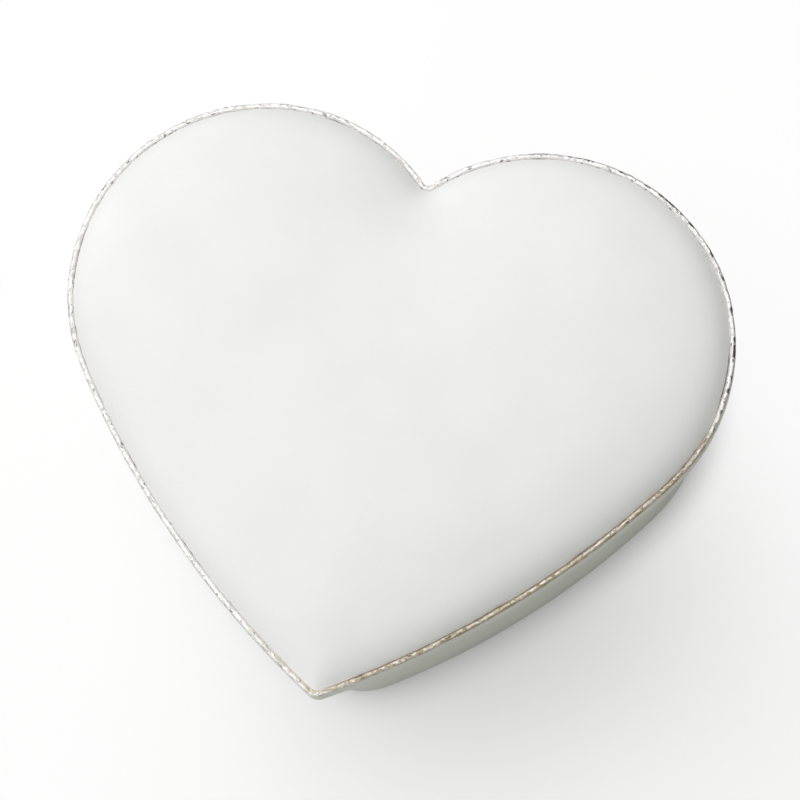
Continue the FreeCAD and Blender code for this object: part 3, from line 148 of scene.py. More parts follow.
class EdgeLine:
    """The piping's line, which tells how deep inside it a point lies and how far along it."""

    def __init__(self):
        self.points = heart(0, fine=6)
        self.tree = KDTree(len(self.points))
        self.along = [0.0]
        for index, (x, y) in enumerate(self.points):
            self.tree.insert((x, y, 0), index)
            if index:
                before = self.points[index - 1]
                self.along.append(self.along[-1] + math.hypot(x - before[0], y - before[1]))
        self.tree.balance()

    def at(self, place):
        """How far from the line a point lies, and how far along it."""
        _, index, depth = self.tree.find((place.x, place.y, 0))
        return depth, self.along[index]

    def across(self, place):
        """The direction out of the heart, square to the line, and how far out the point lies."""
        index = self.tree.find((place.x, place.y, 0))[1]
        before = self.points[index - 1]
        after = self.points[(index + 1) % len(self.points)]
        outward = Vector((after[1] - before[1], before[0] - after[0], 0)).normalized()
        x, y = self.points[index]
        return outward, (place.x - x) * outward.x + (place.y - y) * outward.y


edge_line = EdgeLine()


# Modelling helpers.
MERGE_WITHIN = 0.001 * MM
BORE_SIDES = 40


def select(piece):
    """Makes a piece the only one that operators act on."""
    bpy.ops.object.select_all(action="DESELECT")
    piece.select_set(True)
    bpy.context.view_layer.objects.active = piece


def edit(piece, *steps):
    """Runs edit-mode operators on the whole piece."""
    select(piece)
    bpy.ops.object.mode_set(mode="EDIT")
    bpy.ops.mesh.select_all(action="SELECT")
    for operator, settings in steps:
        operator(**settings)
    bpy.ops.object.mode_set(mode="OBJECT")


def tidy_mesh(piece):
    """Merges doubled points and turns all faces outwards."""
    edit(piece, (bpy.ops.mesh.remove_doubles, {"threshold": MERGE_WITHIN}),
         (bpy.ops.mesh.normals_make_consistent, {"inside": False}))


def apply_modifier(piece, kind, **settings):
    """Adds a modifier, sets it and applies it."""
    select(piece)
    modifier = piece.modifiers.new(kind.lower(), kind)
    for name, setting in settings.items():
        setattr(modifier, name, setting)
    bpy.ops.object.modifier_apply(modifier=modifier.name)


def smooth(piece, angle=40):
    """Shades a piece smoothly, apart from edges sharper than an angle in degrees."""
    select(piece)
    bpy.ops.object.shade_smooth_by_angle(angle=math.radians(angle))


def start_outline(name, outline, z):
    """A ring of edges on an outline, as the start of a piece."""
    bpy.ops.object.select_all(action="DESELECT")
    bpy.ops.mesh.primitive_circle_add(vertices=len(outline), radius=LOBE_RADIUS)
    piece = bpy.context.object
    piece.name = name
    piece.data.name = name
    for vertex, (x, y) in zip(piece.data.vertices, outline):
        vertex.co = (x, y, z)
    return piece


def extrude_to(piece, ring, target):
    """Extrudes a piece's selected ring of edges, and moves the new ring on to its target."""
    tree = KDTree(len(ring))
    for index, point in enumerate(ring):
        tree.insert(point, index)
    tree.balance()
    bpy.ops.object.mode_set(mode="EDIT")
    bpy.ops.mesh.extrude_edges_move()
    bpy.ops.object.mode_set(mode="OBJECT")
    for vertex in piece.data.vertices:
        if vertex.select:
            vertex.co = target[tree.find(vertex.co)[1]]


def band(name, profile, fine=1):
    """A closed band round the heart, drawn through (inset, height, tip radius) and back to its start."""
    rings = [[(x, y, z) for x, y in heart(inset, tip, fine)] for inset, z, tip in profile]
    piece = start_outline(name, heart(profile[0][0], profile[0][2], fine), profile[0][1])
    for ring, target in zip(rings, rings[1:] + rings[:1]):
        extrude_to(piece, ring, target)
    tidy_mesh(piece)
    return piece


def plate(name, inset, tip, floor, thickness, edge):
    """A heart-shaped sheet with rounded edges."""
    piece = start_outline(name, heart(inset, tip), floor)
    edit(piece, (bpy.ops.mesh.edge_face_add, {}),
         (bpy.ops.mesh.extrude_region_move, {"TRANSFORM_OT_translate": {"value": (0, 0, thickness)}}))
    tidy_mesh(piece)
    apply_modifier(piece, "BEVEL", width=edge, segments=3, angle_limit=math.radians(60))
    return piece


def cut(piece, cutter):
    """Cuts a cutter's shape out of a piece, and deletes the cutter."""
    cutter.name = "cutter"
    apply_modifier(piece, "BOOLEAN", operation="DIFFERENCE", solver="MANIFOLD", object=cutter)
    bpy.data.objects.remove(cutter, do_unlink=True)


def cut_box(piece, low, high):
    """Cuts a block out of a piece."""
    bpy.ops.object.select_all(action="DESELECT")
    middle = (Vector(low) + Vector(high)) / 2
    bpy.ops.mesh.primitive_cube_add(size=1, location=middle, scale=Vector(high) - Vector(low))
    cut(piece, bpy.context.object)


def cut_bore(piece, x, y, radius, floor, ceiling):
    """Cuts a round hole down through a piece."""
    bpy.ops.object.select_all(action="DESELECT")
    bpy.ops.mesh.primitive_cylinder_add(vertices=BORE_SIDES, radius=radius, depth=ceiling - floor,
                                        location=(x, y, (floor + ceiling) / 2))
    cut(piece, bpy.context.object)


def cut_hinges(piece, margin, floor, ceiling):
    """Cuts the two hinges' places into the back of a band."""
    front, back = HINGE_Y - HINGE_CUT_FRONT, HINGE_Y + HINGE_CUT_BACK
    for side in (-1, 1):
        middle = side * LOBE_SPREAD
        cut_box(piece, (middle - margin, front, floor), (middle + margin, back, ceiling))


def hand_in(piece, body, slot, *stands_for):
    """Gives a piece its finish, hangs it on the body that it rides on, and hides the nodes that it stands
    for.
    """
    piece.data.materials.clear()
    piece.data.materials.append(FINISHES[slot])
    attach(piece, body)
    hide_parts(*stands_for)


# The finishes. Sums on wires add Math nodes, and node() adds any other node.
class Wire:
    """One output socket in a tree of shader nodes."""

    def __init__(self, tree, socket=None):
        self.tree = tree
        self.socket = socket

    def node(self, kind, inputs=None, output=0, **settings):
        """Adds a node with its settings and its sockets' values or wires, and gives one of its outputs."""
        made = self.tree.nodes.new("ShaderNode" + kind)
        for name, setting in settings.items():
            setattr(made, name, setting)
        for name, given in (inputs or {}).items():
            if isinstance(given, Wire):
                self.tree.links.new(given.socket, made.inputs[name])
            else:
                made.inputs[name].default_value = given
        return Wire(self.tree, made.outputs[output]) if output is not None else None

    def sum(self, operation, first, second):
        return self.node("Math", {0: first, 1: second}, operation=operation)

    def __add__(self, other):
        return self.sum("ADD", self, other)

    def __radd__(self, other):
        return self.sum("ADD", other, self)

    def __sub__(self, other):
        return self.sum("SUBTRACT", self, other)

    def __rsub__(self, other):
        return self.sum("SUBTRACT", other, self)

    def __mul__(self, other):
        return self.sum("MULTIPLY", self, other)

    def __rmul__(self, other):
        return self.sum("MULTIPLY", other, self)

    def __truediv__(self, other):
        return self.sum("DIVIDE", self, other)

    def __rtruediv__(self, other):
        return self.sum("DIVIDE", other, self)

    def between(self, low, high):
        """0 below low, 1 above high, and a smooth step in between."""
        return self.node("MapRange", {0: self, 1: low, 2: high}, interpolation_type="SMOOTHSTEP")

    def xyz(self):
        return [self.node("SeparateXYZ", {0: self}, output) for output in "XYZ"]

    def scaled(self, *factors):
        return self.node("VectorMath", {0: self, 1: factors}, operation="MULTIPLY")

    def noise(self, size, detail=4, roughness=0.5, distortion=0):
        """A soft random pattern, with features of the given size in metres."""
        return self.node("TexNoise", {"Vector": self, "Scale": 1 / size, "Detail": detail,
                                      "Roughness": roughness, "Distortion": distortion})

    def cells(self, size, feature="F1", output="Distance"):
        """A pattern of cells of the given size in metres."""
        return self.node("TexVoronoi", {"Vector": self, "Scale": 1 / size}, output, feature=feature)

    def blend(self, first, second):
        """A colour between two others, with this wire as the share of the second."""
        first, second = [given if isinstance(given, Wire) else (*given, 1) for given in (first, second)]
        return self.node("Mix", {0: self, 6: first, 7: second}, 2, data_type="RGBA")

    def bump(self, depth):
        """The surface's normal over a relief of this wire's height, of the given depth in metres."""
        return self.node("Bump", {"Height": self, "Distance": depth, "Strength": 1})


class Finish:
    """A material, its shader and the object's coordinates."""

    def __init__(self, name):
        self.material = bpy.data.materials.new(name)
        self.material.use_nodes = True
        self.tree = self.material.node_tree
        self.shader = self.tree.nodes["Principled BSDF"]
        self.place = Wire(self.tree).node("TexCoord", output="Object")

    def set(self, **sockets):
        """Sets the shader's sockets, written in small letters, to values or wires."""
        for name, given in sockets.items():
            socket = self.shader.inputs[name.replace("_", " ").title().replace("Ior", "IOR")]
            if isinstance(given, Wire):
                self.tree.links.new(given.socket, socket)
            else:
                socket.default_value = (*given, 1) if isinstance(given, tuple) else given
        return self.material


def srgb(*levels):
    """A colour's linear values, from its red, green and blue as a screen shows them, up to 255."""
    return tuple(((level / 255 + 0.055) / 1.055) ** 2.4 for level in levels)


def leatherette():
    """Off-white coated cloth with a fine grain, slightly uneven in tone and gloss."""
    finish = Finish("leatherette")
    pores = finish.place.cells(0.42 * MM)
    grain = finish.place.noise(0.16 * MM, detail=3)
    swell = finish.place.noise(6 * MM, detail=3)
    mottle = finish.place.noise(14 * MM, detail=4)
    relief = pores.between(0.1, 0.75) * 0.6 + grain * 0.35 + swell * 0.4
    tone = (mottle * 0.6 + grain * 0.4).between(0.3, 0.7)
    colour = tone.blend(srgb(237, 238, 236), srgb(242, 242, 241))
    rough = 0.5 + grain * 0.12 + (mottle - 0.5) * 0.1
    return finish.set(base_color=colour, roughness=rough, specular_ior_level=0.4,
                      normal=relief.bump(0.012 * MM))


def foil_piping():
    """Crumpled silver foil, tarnished to tan in patches and at the tip, with painted shade (more tan, dark
    edges) along the shaded right side and painted glints.
    """
    finish = Finish("foil_piping")
    x, y, _ = finish.place.xyz()
    straight = finish.place.node("Attribute", output="Vector", attribute_name="straightened")
    _, outward, _ = straight.xyz()
    outer = outward / PIPING_RADIUS
    facets = straight.scaled(0.5, 1, 1)
    facet = 0.28 * MM
    tones = facets.cells(facet, output="Color")
    shade, painted_glint_and_flake, _ = [tones.node("SeparateColor", {0: tones}, output) for output in range(3)]
    creases = facets.cells(facet, "DISTANCE_TO_EDGE").between(0, 0.2)
    patches = straight.noise(4.5 * MM, detail=3)
    # The right side, away from the light, where shade is painted into the foil's colours below.
    shaded_right_side = x.between(-4 * MM, 8 * MM) * (1 - y.between(-8 * MM, 24 * MM))
    far_lobe = x.between(8 * MM, 34 * MM) * y.between(-4 * MM, 18 * MM)
    at_tip = 1 - y.between(-50 * MM, -34 * MM)
    # Tan tarnish in random patches and at the tip, laid on thicker along the shaded right side as painted
    # shade.
    tarnish_and_painted_shade = (patches + shade * 0.2 - outer * 0.12 + shaded_right_side * 0.4
               + at_tip * (0.16 - outer * 0.3)).between(0.76, 0.9)
    bright = (shade * 0.7 + patches * 0.6).between(0.25, 0.7)
    silver = bright.blend(srgb(190, 187, 185), srgb(255, 255, 254))
    tan = shade.between(0.1, 0.95).blend(srgb(164, 147, 119), srgb(230, 218, 194))
    colour = tarnish_and_painted_shade.blend(silver, tan)
    # Painted highlight: some facets are painted near white as glints.
    colour = painted_glint_and_flake.between(0.8, 0.9).blend(colour, srgb(246, 243, 238))

    # Along its inner edge the foil is tucked under the cover, with painted shade in that crease, and its
    # outer rim is painted grey as shade, with dark dashes.
    corner = 1 - y.between(-53 * MM, -49.5 * MM)
    # Painted shade in the crease under the cover: pale on the lit left, dark brown on the shaded right
    # side, less at the tip.
    painted_crease_shade = (0 - outer).between(0.15, 0.7) * (0.85 - corner * 0.7)
    colour = painted_crease_shade.blend(colour, shaded_right_side.blend(srgb(230, 227, 224), srgb(126, 107, 83)))
    dashes = straight.noise(1.5 * MM, detail=2).between(0.53, 0.6)
    # Painted shade on the outer rim: grey, heavier along the shaded right side, with dark dashes.
    rim_shade_and_dashes = outer.between(0.1, 0.6) * (0.06 + shaded_right_side * (0.58 - at_tip * 0.3) + dashes * 0.2)
    colour = rim_shade_and_dashes.blend(colour, shaded_right_side.blend(srgb(150, 146, 146), srgb(138, 129, 106)))
    marks = (outer.between(-0.15, 0.25) * dashes * 0.85 + outer.between(0.25, 0.7) * 0.5) * far_lobe
    colour = marks.blend(colour, srgb(62, 58, 58))
    flakes = (1 - painted_glint_and_flake.between(0.02, 0.03)) * 0.7
    colour = flakes.blend(colour, srgb(84, 78, 72))
    relief = shade + creases * 0.6
    return finish.set(base_color=colour, metallic=0.6 - tarnish_and_painted_shade * 0.25 - painted_crease_shade * 0.4,
                      roughness=0.3 + shade * 0.2, normal=relief.bump(0.05 * MM))


def flocking():
    """Pale short-pile lining."""
    finish = Finish("flocking")
    pile = finish.place.noise(0.25 * MM, detail=4, roughness=0.7)
    brushed = finish.place.noise(9 * MM, detail=3, distortion=0.6)
    tone = (pile * 0.55 + brushed * 0.45).between(0.32, 0.68)
    colour = tone.blend(srgb(206, 202, 194), srgb(228, 225, 218))
    return finish.set(base_color=colour, roughness=0.95, sheen_weight=0.35, sheen_roughness=0.4,
                      specular_ior_level=0.15, normal=pile.bump(0.08 * MM))


def fibreboard():
    """Pressed brown board with short fibres."""
    finish = Finish("fibreboard")
    fibres = finish.place.scaled(1, 1, 2.5).noise(0.6 * MM, detail=6, roughness=0.7)
    blotches = finish.place.noise(11 * MM, detail=3)
    tone = (fibres * 0.65 + blotches * 0.35).between(0.3, 0.7)
    return finish.set(base_color=tone.blend(srgb(158, 124, 88), srgb(204, 172, 130)), roughness=0.85,
                      specular_ior_level=0.2, normal=fibres.bump(0.06 * MM))


def metal(name, dark, light, rough, line, depth, tarnish_and_painted_shade):
    """A worked metal: fine tool lines, darker tarnish in blotches, and scattered nicks."""
    finish = Finish(name)
    lines = finish.place.scaled(*line).noise(0.3 * MM, detail=3, roughness=0.65)
    blotches = finish.place.noise(3.5 * MM, detail=5)
    nicks = finish.place.cells(2.6 * MM)
    tone = lines * 0.5 + blotches * 0.5
    colour = tone.between(0.3, 0.7).blend(dark, light)
    stain = blotches.between(0.55, 0.75) * tarnish_and_painted_shade
    colour = stain.blend(colour, tuple(level * 0.55 for level in dark))
    gloss = rough + (lines - 0.5) * 0.16 + stain * 0.2
    relief = lines - (1 - nicks.between(0, 0.07)) * 0.8
    return finish.set(base_color=colour, metallic=1.0, roughness=gloss, normal=relief.bump(depth))


def clear_plastic():
    """Clear sheet with a slight haze and fine scratches."""
    finish = Finish("clear_plastic")
    haze = finish.place.noise(18 * MM, detail=4)
    scratches = finish.place.scaled(1, 14, 14).noise(4 * MM, detail=2)
    rough = 0.04 + scratches.between(0.6, 0.75) * 0.12 + haze * 0.04
    return finish.set(base_color=(0.96, 0.98, 0.98), roughness=rough, transmission_weight=0.95, ior=1.47)


def nylon():
    """Moulded natural nylon."""
    finish = Finish("nylon")
    flow = finish.place.noise(2.2 * MM, detail=3)
    fine = finish.place.noise(0.2 * MM, detail=2)
    return finish.set(base_color=flow.between(0.3, 0.7).blend(srgb(222, 219, 207), srgb(238, 236, 228)),
                      roughness=0.42 + fine * 0.12, subsurface_weight=0.15, subsurface_scale=0.5 * MM,
                      normal=fine.bump(0.01 * MM))


FINISHES = {
    "leatherette": leatherette(),
    "silver_trim": foil_piping(),
    "board": fibreboard(),
    "felt": flocking(),
    "clear_plastic": clear_plastic(),
    "nylon": nylon(),
}

# The pad's foam is never seen, because the cover stands for it.
FINISHES["foam"] = FINISHES["felt"]

# Each metal's dark and light colour, its roughness, how fine its tool lines are along each axis, the depth
# of its relief and its share of tarnish.
METALS = {
    "hinge_brass": (srgb(178, 142, 78), srgb(224, 192, 122), 0.3, (1, 12, 12), 0.015 * MM, 0.5),
    "zinc": (srgb(142, 144, 146), srgb(184, 186, 188), 0.48, (1, 1, 1), 0.05 * MM, 0.4),
    "brass": (srgb(190, 152, 78), srgb(232, 200, 122), 0.26, (14, 1, 1), 0.006 * MM, 0.35),
    "steel": (srgb(150, 153, 158), srgb(206, 208, 212), 0.28, (1, 12, 4), 0.008 * MM, 0.3),
    "key_metal": (srgb(196, 164, 92), srgb(236, 210, 142), 0.18, (6, 6, 6), 0.006 * MM, 0.4),
}
for name, look in METALS.items():
    FINISHES[name] = metal(name, *look)

# Each CAD piece shows the finish of its own slot.
for part in frame["record"]["subparts"]:
    for slot in nodes[part["node"]].material_slots:
        slot.material = FINISHES[part["material_slot"]]


# The padded lid: leatherette drawn tight over foam, puffed by simulation and then puckered at its edge.
PAD_EDGE = 0.12 * MM
PAD_STEEP_RISE = 3.1 * MM
PAD_STEEP_REACH = 2.2 * MM
PAD_GENTLE_RISE = 5.6 * MM
PAD_GENTLE_REACH = 11.5 * MM
PAD_BLOCK = 3 * MM
PAD_VOXEL = 1.5 * MM
PAD_RAISED_FROM = 0.8 * MM
PAD_RIM = 0.9 * MM
PAD_EVENING = 40
PAD_HELD_BELOW = 0.7 * MM
PAD_PRESSURE = 2.0
PAD_FRAMES = 20
PAD_CAP = 0.5 * MM
COVER_LEAST = 0.5 * MM
COVER_UNDERSIDE = 0.3 * MM
LID_TIP = Vector((0, min(y for _, y in heart(0))))
TIP_FLATTENING = 0.46
TIP_FLAT_REACH = 36 * MM
TIP_SOFT_REACH = 26 * MM
TIP_SOFTENING = 24
CORNER_DRAW = 0.55 * MM
CORNER_REACH = 5 * MM

# Where the edge of the cover passes into its middle: a depth inside the piping, and the way on from there.
EVENING_RAMP = (1.5 * MM, 8 * MM)
DRAWING_RAMP = (2 * MM, 6 * MM)
SOFTENING_RAMP = (0.7 * MM, 2 * MM)
SOFTENING_FADE = 10 * MM

# The gathers beside the piping and the swells over the pad: heights, and sizes along and across the edge.
GATHER_FROM = 0.4 * MM
GATHER_HEIGHT = 0.085 * MM
GATHER_REACH = 3.4 * MM
PULL_LENGTH = 21 * MM
FINE_RIDGE = (1.5 * MM, 14 * MM)
BROAD_RIDGE = (3.4 * MM, 20 * MM)
SWELLS = ((0.09 * MM, 13 * MM), (0.1 * MM, 31 * MM))
SWELL_REACH = 8 * MM


def pad_height(depth):
    """How high the pad stands over the lid board at a depth inside the piping: steep, then gentle."""
    depth = max(depth - PAD_EDGE, 0)
    return (PAD_STEEP_RISE * (1 - math.exp(-depth / PAD_STEEP_REACH))
            + PAD_GENTLE_RISE * (1 - math.exp(-depth / PAD_GENTLE_REACH)))


def ramp(value, start, reach):
    """0 up to the start, and 1 from a reach further on."""
    return min(max(value - start, 0) / reach, 1)


def from_tip(place):
    """How far from the lid's tip a point lies, seen from above."""
    return (place.xy - LID_TIP).length


def even_out(piece, rounds, share_at):
    """Smooths the cover's top, each point by the share that its place has."""
    group = piece.vertex_groups.new(name="evened")
    for vertex in piece.data.vertices:
        share = share_at(vertex.co)
        if share > 0 and vertex.co.z > LID_TOP + COVER_LEAST:
            group.add([vertex.index], share, "REPLACE")
    apply_modifier(piece, "SMOOTH", factor=0.5, iterations=rounds, vertex_group=group.name)
    piece.vertex_groups.clear()


def in_middle(place):
    """1 over the middle of the pad, and 0 at its edge."""
    depth, _ = edge_line.at(place)
    return ramp(depth, *EVENING_RAMP)


def over_tip(place):
    """1 on the cover above the tip, and 0 at its edge and away from the tip."""
    depth, _ = edge_line.at(place)
    return ramp(depth, *SOFTENING_RAMP) * ramp(TIP_SOFT_REACH - from_tip(place), 0, SOFTENING_FADE)


def draw_down(piece):
    """Draws the cover's edge down to the steep fall beside the piping, and keeps its underside flat."""
    normals = [vertex.normal.copy() for vertex in piece.data.vertices]
    for vertex, normal in zip(piece.data.vertices, normals):
        depth, _ = edge_line.at(vertex.co)
        share = ramp(depth, *DRAWING_RAMP)
        near_tip = max(1 - from_tip(vertex.co) / TIP_FLAT_REACH, 0) ** 2
        if normal.z > 0:
            height = (vertex.co.z - LID_TOP) * share + pad_height(depth) * (1 - share)
            vertex.co.z = LID_TOP + max(height * (1 - TIP_FLATTENING * near_tip), COVER_LEAST)
        else:
            vertex.co.z = min(vertex.co.z, LID_TOP + COVER_UNDERSIDE)


def soften_tip(piece):
    """Rounds off the ridge over the tip, where the cover's two sides meet, and draws it into the corner."""
    even_out(piece, TIP_SOFTENING, over_tip)
    for vertex in piece.data.vertices:
        vertex.co.y -= CORNER_DRAW * max(1 - from_tip(vertex.co) / CORNER_REACH, 0)


def puff(piece, held_below):
    """Blows a closed piece up a little as cloth, with the points below a height held where they are."""
    held = piece.vertex_groups.new(name="held")
    low = [vertex.index for vertex in piece.data.vertices if vertex.co.z < held_below]
    held.add(low, 1.0, "ADD")
    before = [vertex.co.copy() for vertex in piece.data.vertices]
    cloth = piece.modifiers.new("puff", "CLOTH")
    cloth.settings.use_pressure = True
    cloth.settings.uniform_pressure_force = PAD_PRESSURE
    cloth.settings.vertex_group_mass = "held"
    cloth.settings.effector_weights.gravity = 0
    cloth.settings.quality = 5
    cloth.point_cache.frame_start = 1
    cloth.point_cache.frame_end = PAD_FRAMES
    for number in range(1, PAD_FRAMES + 1):
        bpy.context.scene.frame_set(number)
    bpy.ops.object.modifier_apply(modifier="puff")
    bpy.context.scene.frame_set(1)
    for vertex, start in zip(piece.data.vertices, before):
        move = vertex.co - start
        if move.length > PAD_CAP:
            vertex.co = start + move * (PAD_CAP / move.length)
    piece.vertex_groups.clear()


def ridges(along, depth, size, layer):
    """Random ridges square to the piping, of a width along it and a length across it."""
    width, length = size
    return noise.noise(Vector((along / width, depth / length, layer)))


def pucker(piece):
    """Fine gathers square to the piping, where the cover is pulled under it, and slight swells all over."""
    for vertex in piece.data.vertices:
        depth, along = edge_line.at(vertex.co)
        if vertex.co.z < LID_TOP + GATHER_FROM:
            continue
        pull = 0.4 + 0.6 * noise.noise(Vector((along / PULL_LENGTH, 3.1, 0)))
        ridge = ridges(along, depth, FINE_RIDGE, 0) + 0.6 * ridges(along, depth, BROAD_RIDGE, 5)
        gather = GATHER_HEIGHT * ridge * (0.4 + pull) * math.exp(-depth / GATHER_REACH)
        swell = sum(height * noise.noise(vertex.co / size) for height, size in SWELLS)
        vertex.co.z += gather + swell * min(depth / SWELL_REACH, 1)


def make_lid_cover():
    """The cover with its pad: a block on the lid's outline, remeshed, raised, puffed and drawn down."""
    piece = start_outline("lid_cover_leather", heart(PAD_EDGE, fine=2), LID_TOP)
    edit(piece, (bpy.ops.mesh.edge_face_add, {}),
         (bpy.ops.mesh.extrude_region_move, {"TRANSFORM_OT_translate": {"value": (0, 0, PAD_BLOCK)}}))
    tidy_mesh(piece)
    apply_modifier(piece, "REMESH", mode="VOXEL", voxel_size=PAD_VOXEL)
    for vertex in piece.data.vertices:
        if vertex.co.z > LID_TOP + PAD_RAISED_FROM:
            depth, _ = edge_line.at(vertex.co)
            vertex.co.z = LID_TOP + max(pad_height(depth), PAD_RIM)
    even_out(piece, PAD_EVENING, in_middle)
    puff(piece, LID_TOP + PAD_HELD_BELOW)
    apply_modifier(piece, "SMOOTH", factor=0.5, iterations=2)
    apply_modifier(piece, "SUBSURF", levels=1, render_levels=1)
    draw_down(piece)
    soften_tip(piece)
    pucker(piece)
    smooth(piece, 70)
    hand_in(piece, "lid", "leatherette", "lid_cover", "lid_pad")


def make_piping():
    """Foil piping glued round the lid's edge, slightly wavy and crumpled all over."""
    turns = [2 * math.pi * side / PIPING_SIDES for side in range(PIPING_SIDES)]
    profile = [(-PIPING_RADIUS * math.cos(turn), LID_TOP + PIPING_RADIUS * (1 + math.sin(turn)), None)
               for turn in turns]
    piece = band("lid_foil_piping", profile, fine=8)
    straightened = piece.data.attributes.new("straightened", "FLOAT_VECTOR", "POINT")
    normals = [vertex.normal.copy() for vertex in piece.data.vertices]
    for vertex, normal in zip(piece.data.vertices, normals):
        place = vertex.co.copy()
        _, along = edge_line.at(place)
        outward, beyond = edge_line.across(place)
        straight = Vector((along, beyond, place.z - LID_TOP))
        straightened.data[vertex.index].vector = straight
        around = Vector((along / PIPING_WAVE_LENGTH, 7.3, 0))
        wave = PIPING_WAVE * noise.noise(around) + PIPING_RIPPLE * noise.noise(around * 3.7)
        near, far = noise.voronoi(straight * Vector((0.45, 1, 1)) / PIPING_FOLD)[0][:2]
        crumple = PIPING_FOLD_DEPTH * (far - near - 0.3)
        crumple += PIPING_DENT_DEPTH * noise.noise(place / PIPING_DENT)
        vertex.co = place + normal * crumple + outward * wave + Vector((0, 0, wave * 0.4))
    smooth(piece, 25)
    hand_in(piece, "lid", "silver_trim", "lid_trim_cord")


def lay_flat(piece):
    """Works out half of the piece's surface area, which nothing uses. Declares a glued flat
    sheet, as large as the CAD's and with half of the piece's surface.
    """
    sum(face.area for face in piece.data.polygons) / 2


def make_lid_side():
    """The band of leatherette round the lid, rolled over the board's edge and turned in under it."""
    thin = 0.07 * MM
    under = LID_LINING_INSET + 1 * MM
    board = -0.41 * MM
    profile = [
        (1.2 * MM, LID_TOP + 0.06 * MM, None), (-0.3 * MM, LID_TOP + 0.05 * MM, None),
        (-0.46 * MM, LID_TOP - 0.03 * MM, None), (-0.55 * MM, LID_TOP - 0.25 * MM, None),
        (-0.6 * MM, LID_TOP - 0.7 * MM, None), (-0.64 * MM, LID_TOP - 1.5 * MM, None),
        (-OVERHANG, LID_TOP - 2.4 * MM, None), (-0.64 * MM, LID_FLOOR + 0.9 * MM, None),
        (-0.6 * MM, LID_FLOOR + 0.4 * MM, None), (-0.5 * MM, LID_FLOOR + 0.06 * MM, None),
        (-0.3 * MM, LID_FLOOR - thin, None), (TURN_OVER, LID_FLOOR - thin, None),
        (under, LID_FLOOR - thin, ROOM_TIP), (under, LID_FLOOR - GLUE, ROOM_TIP),
        (TURN_OVER, LID_FLOOR - GLUE, None), (board, LID_FLOOR, None), (board, LID_TOP, None),
        (1.2 * MM, LID_TOP + GLUE, None),
    ]
    piece = band("lid_side_leather", profile, fine=2)
    cut_hinges(piece, LID_HINGE_CUT, LID_FLOOR - 1 * MM, LID_FLOOR + LID_HINGE_DEPTH)
    smooth(piece)
    hand_in(piece, "lid", "leatherette", "lid_side_wrap")
    width = OVERHANG + LID_TOP - LID_FLOOR + OVERHANG + under
    outline_length(heart(-OVERHANG))


def make_body_side():
    """The leatherette round the body, turned over the wall's rim."""
    thin = 0.1 * MM
    tip = BODY_TIP
    inner = LINING_INSET + thin
    inner_tip = ROOM_TIP + LINING
    profile = [
        (BODY_INSET + 0.3 * MM, 0.05 * MM, tip), (BODY_INSET + 0.08 * MM, 0.15 * MM, tip),
        (BODY_INSET, 0.5 * MM, tip), (BODY_INSET, 6 * MM, tip), (BODY_INSET, 14 * MM, tip),
        (BODY_INSET, 24 * MM, tip), (BODY_INSET, 36 * MM, tip), (BODY_INSET, WALL_TOP - 0.8 * MM, tip),
        (BODY_INSET + 0.06 * MM, WALL_TOP - 0.3 * MM, tip), (BODY_INSET + 0.25 * MM, WALL_TOP, tip),
        (BODY_INSET + 0.55 * MM, WALL_TOP + thin, tip), (inner - 0.4 * MM, WALL_TOP + thin, inner_tip),
        (inner - 0.05 * MM, WALL_TOP - 0.1 * MM, inner_tip), (inner, WALL_TOP - 0.4 * MM, inner_tip),
        (inner, WALL_TOP - TURN_OVER, inner_tip), (inner - thin, WALL_TOP - TURN_OVER, inner_tip),
        (inner - thin, WALL_TOP - GLUE, inner_tip), (BODY_INSET + LEATHER, WALL_TOP - GLUE, tip - LEATHER),
        (BODY_INSET + LEATHER, 0.3 * MM, tip - LEATHER),
    ]
    piece = band("body_leather", profile, fine=2)
    cut_hinges(piece, BODY_HINGE_CUT, WALL_TOP - BODY_HINGE_DEPTH, WALL_TOP + 1 * MM)
    smooth(piece)
    hand_in(piece, "box", "leatherette", "body_wrap")
    width = WALL_TOP + inner - BODY_INSET + TURN_OVER
    outline_length(heart(BODY_INSET, BODY_TIP))


def make_wall_lining():
    """Flocked card round the inside of the walls, with a rounded top edge."""
    top = WALL_TOP - 1.5 * MM
    outer = LINING_INSET + CARD_GLUE
    outer_tip = ROOM_TIP + LINING
    floor = BASE_TOP + CARD_GLUE
    profile = [
        (outer, floor, outer_tip), (ROOM_INSET, floor, ROOM_TIP), (ROOM_INSET, floor + 9 * MM, ROOM_TIP),
        (ROOM_INSET, floor + 18 * MM, ROOM_TIP), (ROOM_INSET, top - 0.3 * MM, ROOM_TIP),
        (ROOM_INSET - 0.1 * MM, top - 0.08 * MM, ROOM_TIP), (ROOM_INSET - 0.3 * MM, top, ROOM_TIP),
        (outer + 0.2 * MM, top, outer_tip), (outer, top - 0.1 * MM, outer_tip),
    ]
    piece = band("wall_flocking", profile)
    smooth(piece)
    hand_in(piece, "box", "felt", "wall_lining")
    outline_length(heart(ROOM_INSET, ROOM_TIP))


def make_floor_lining():
    """Flocked card on the base board, left open under the movement."""
    piece = plate("floor_flocking", ROOM_INSET, ROOM_TIP, BASE_TOP + CARD_GLUE, LINING, 0.25 * MM)
    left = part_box("partition_left")[0]
    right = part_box("partition_right")[1]
    beyond = right.y + LOBE_RADIUS
    cut_box(piece, (left.x, left.y, BASE_TOP - LINING), (right.x, beyond, BASE_TOP + 2 * LINING))
    smooth(piece)
    hand_in(piece, "box", "felt", "floor_lining")
    lay_flat(piece)


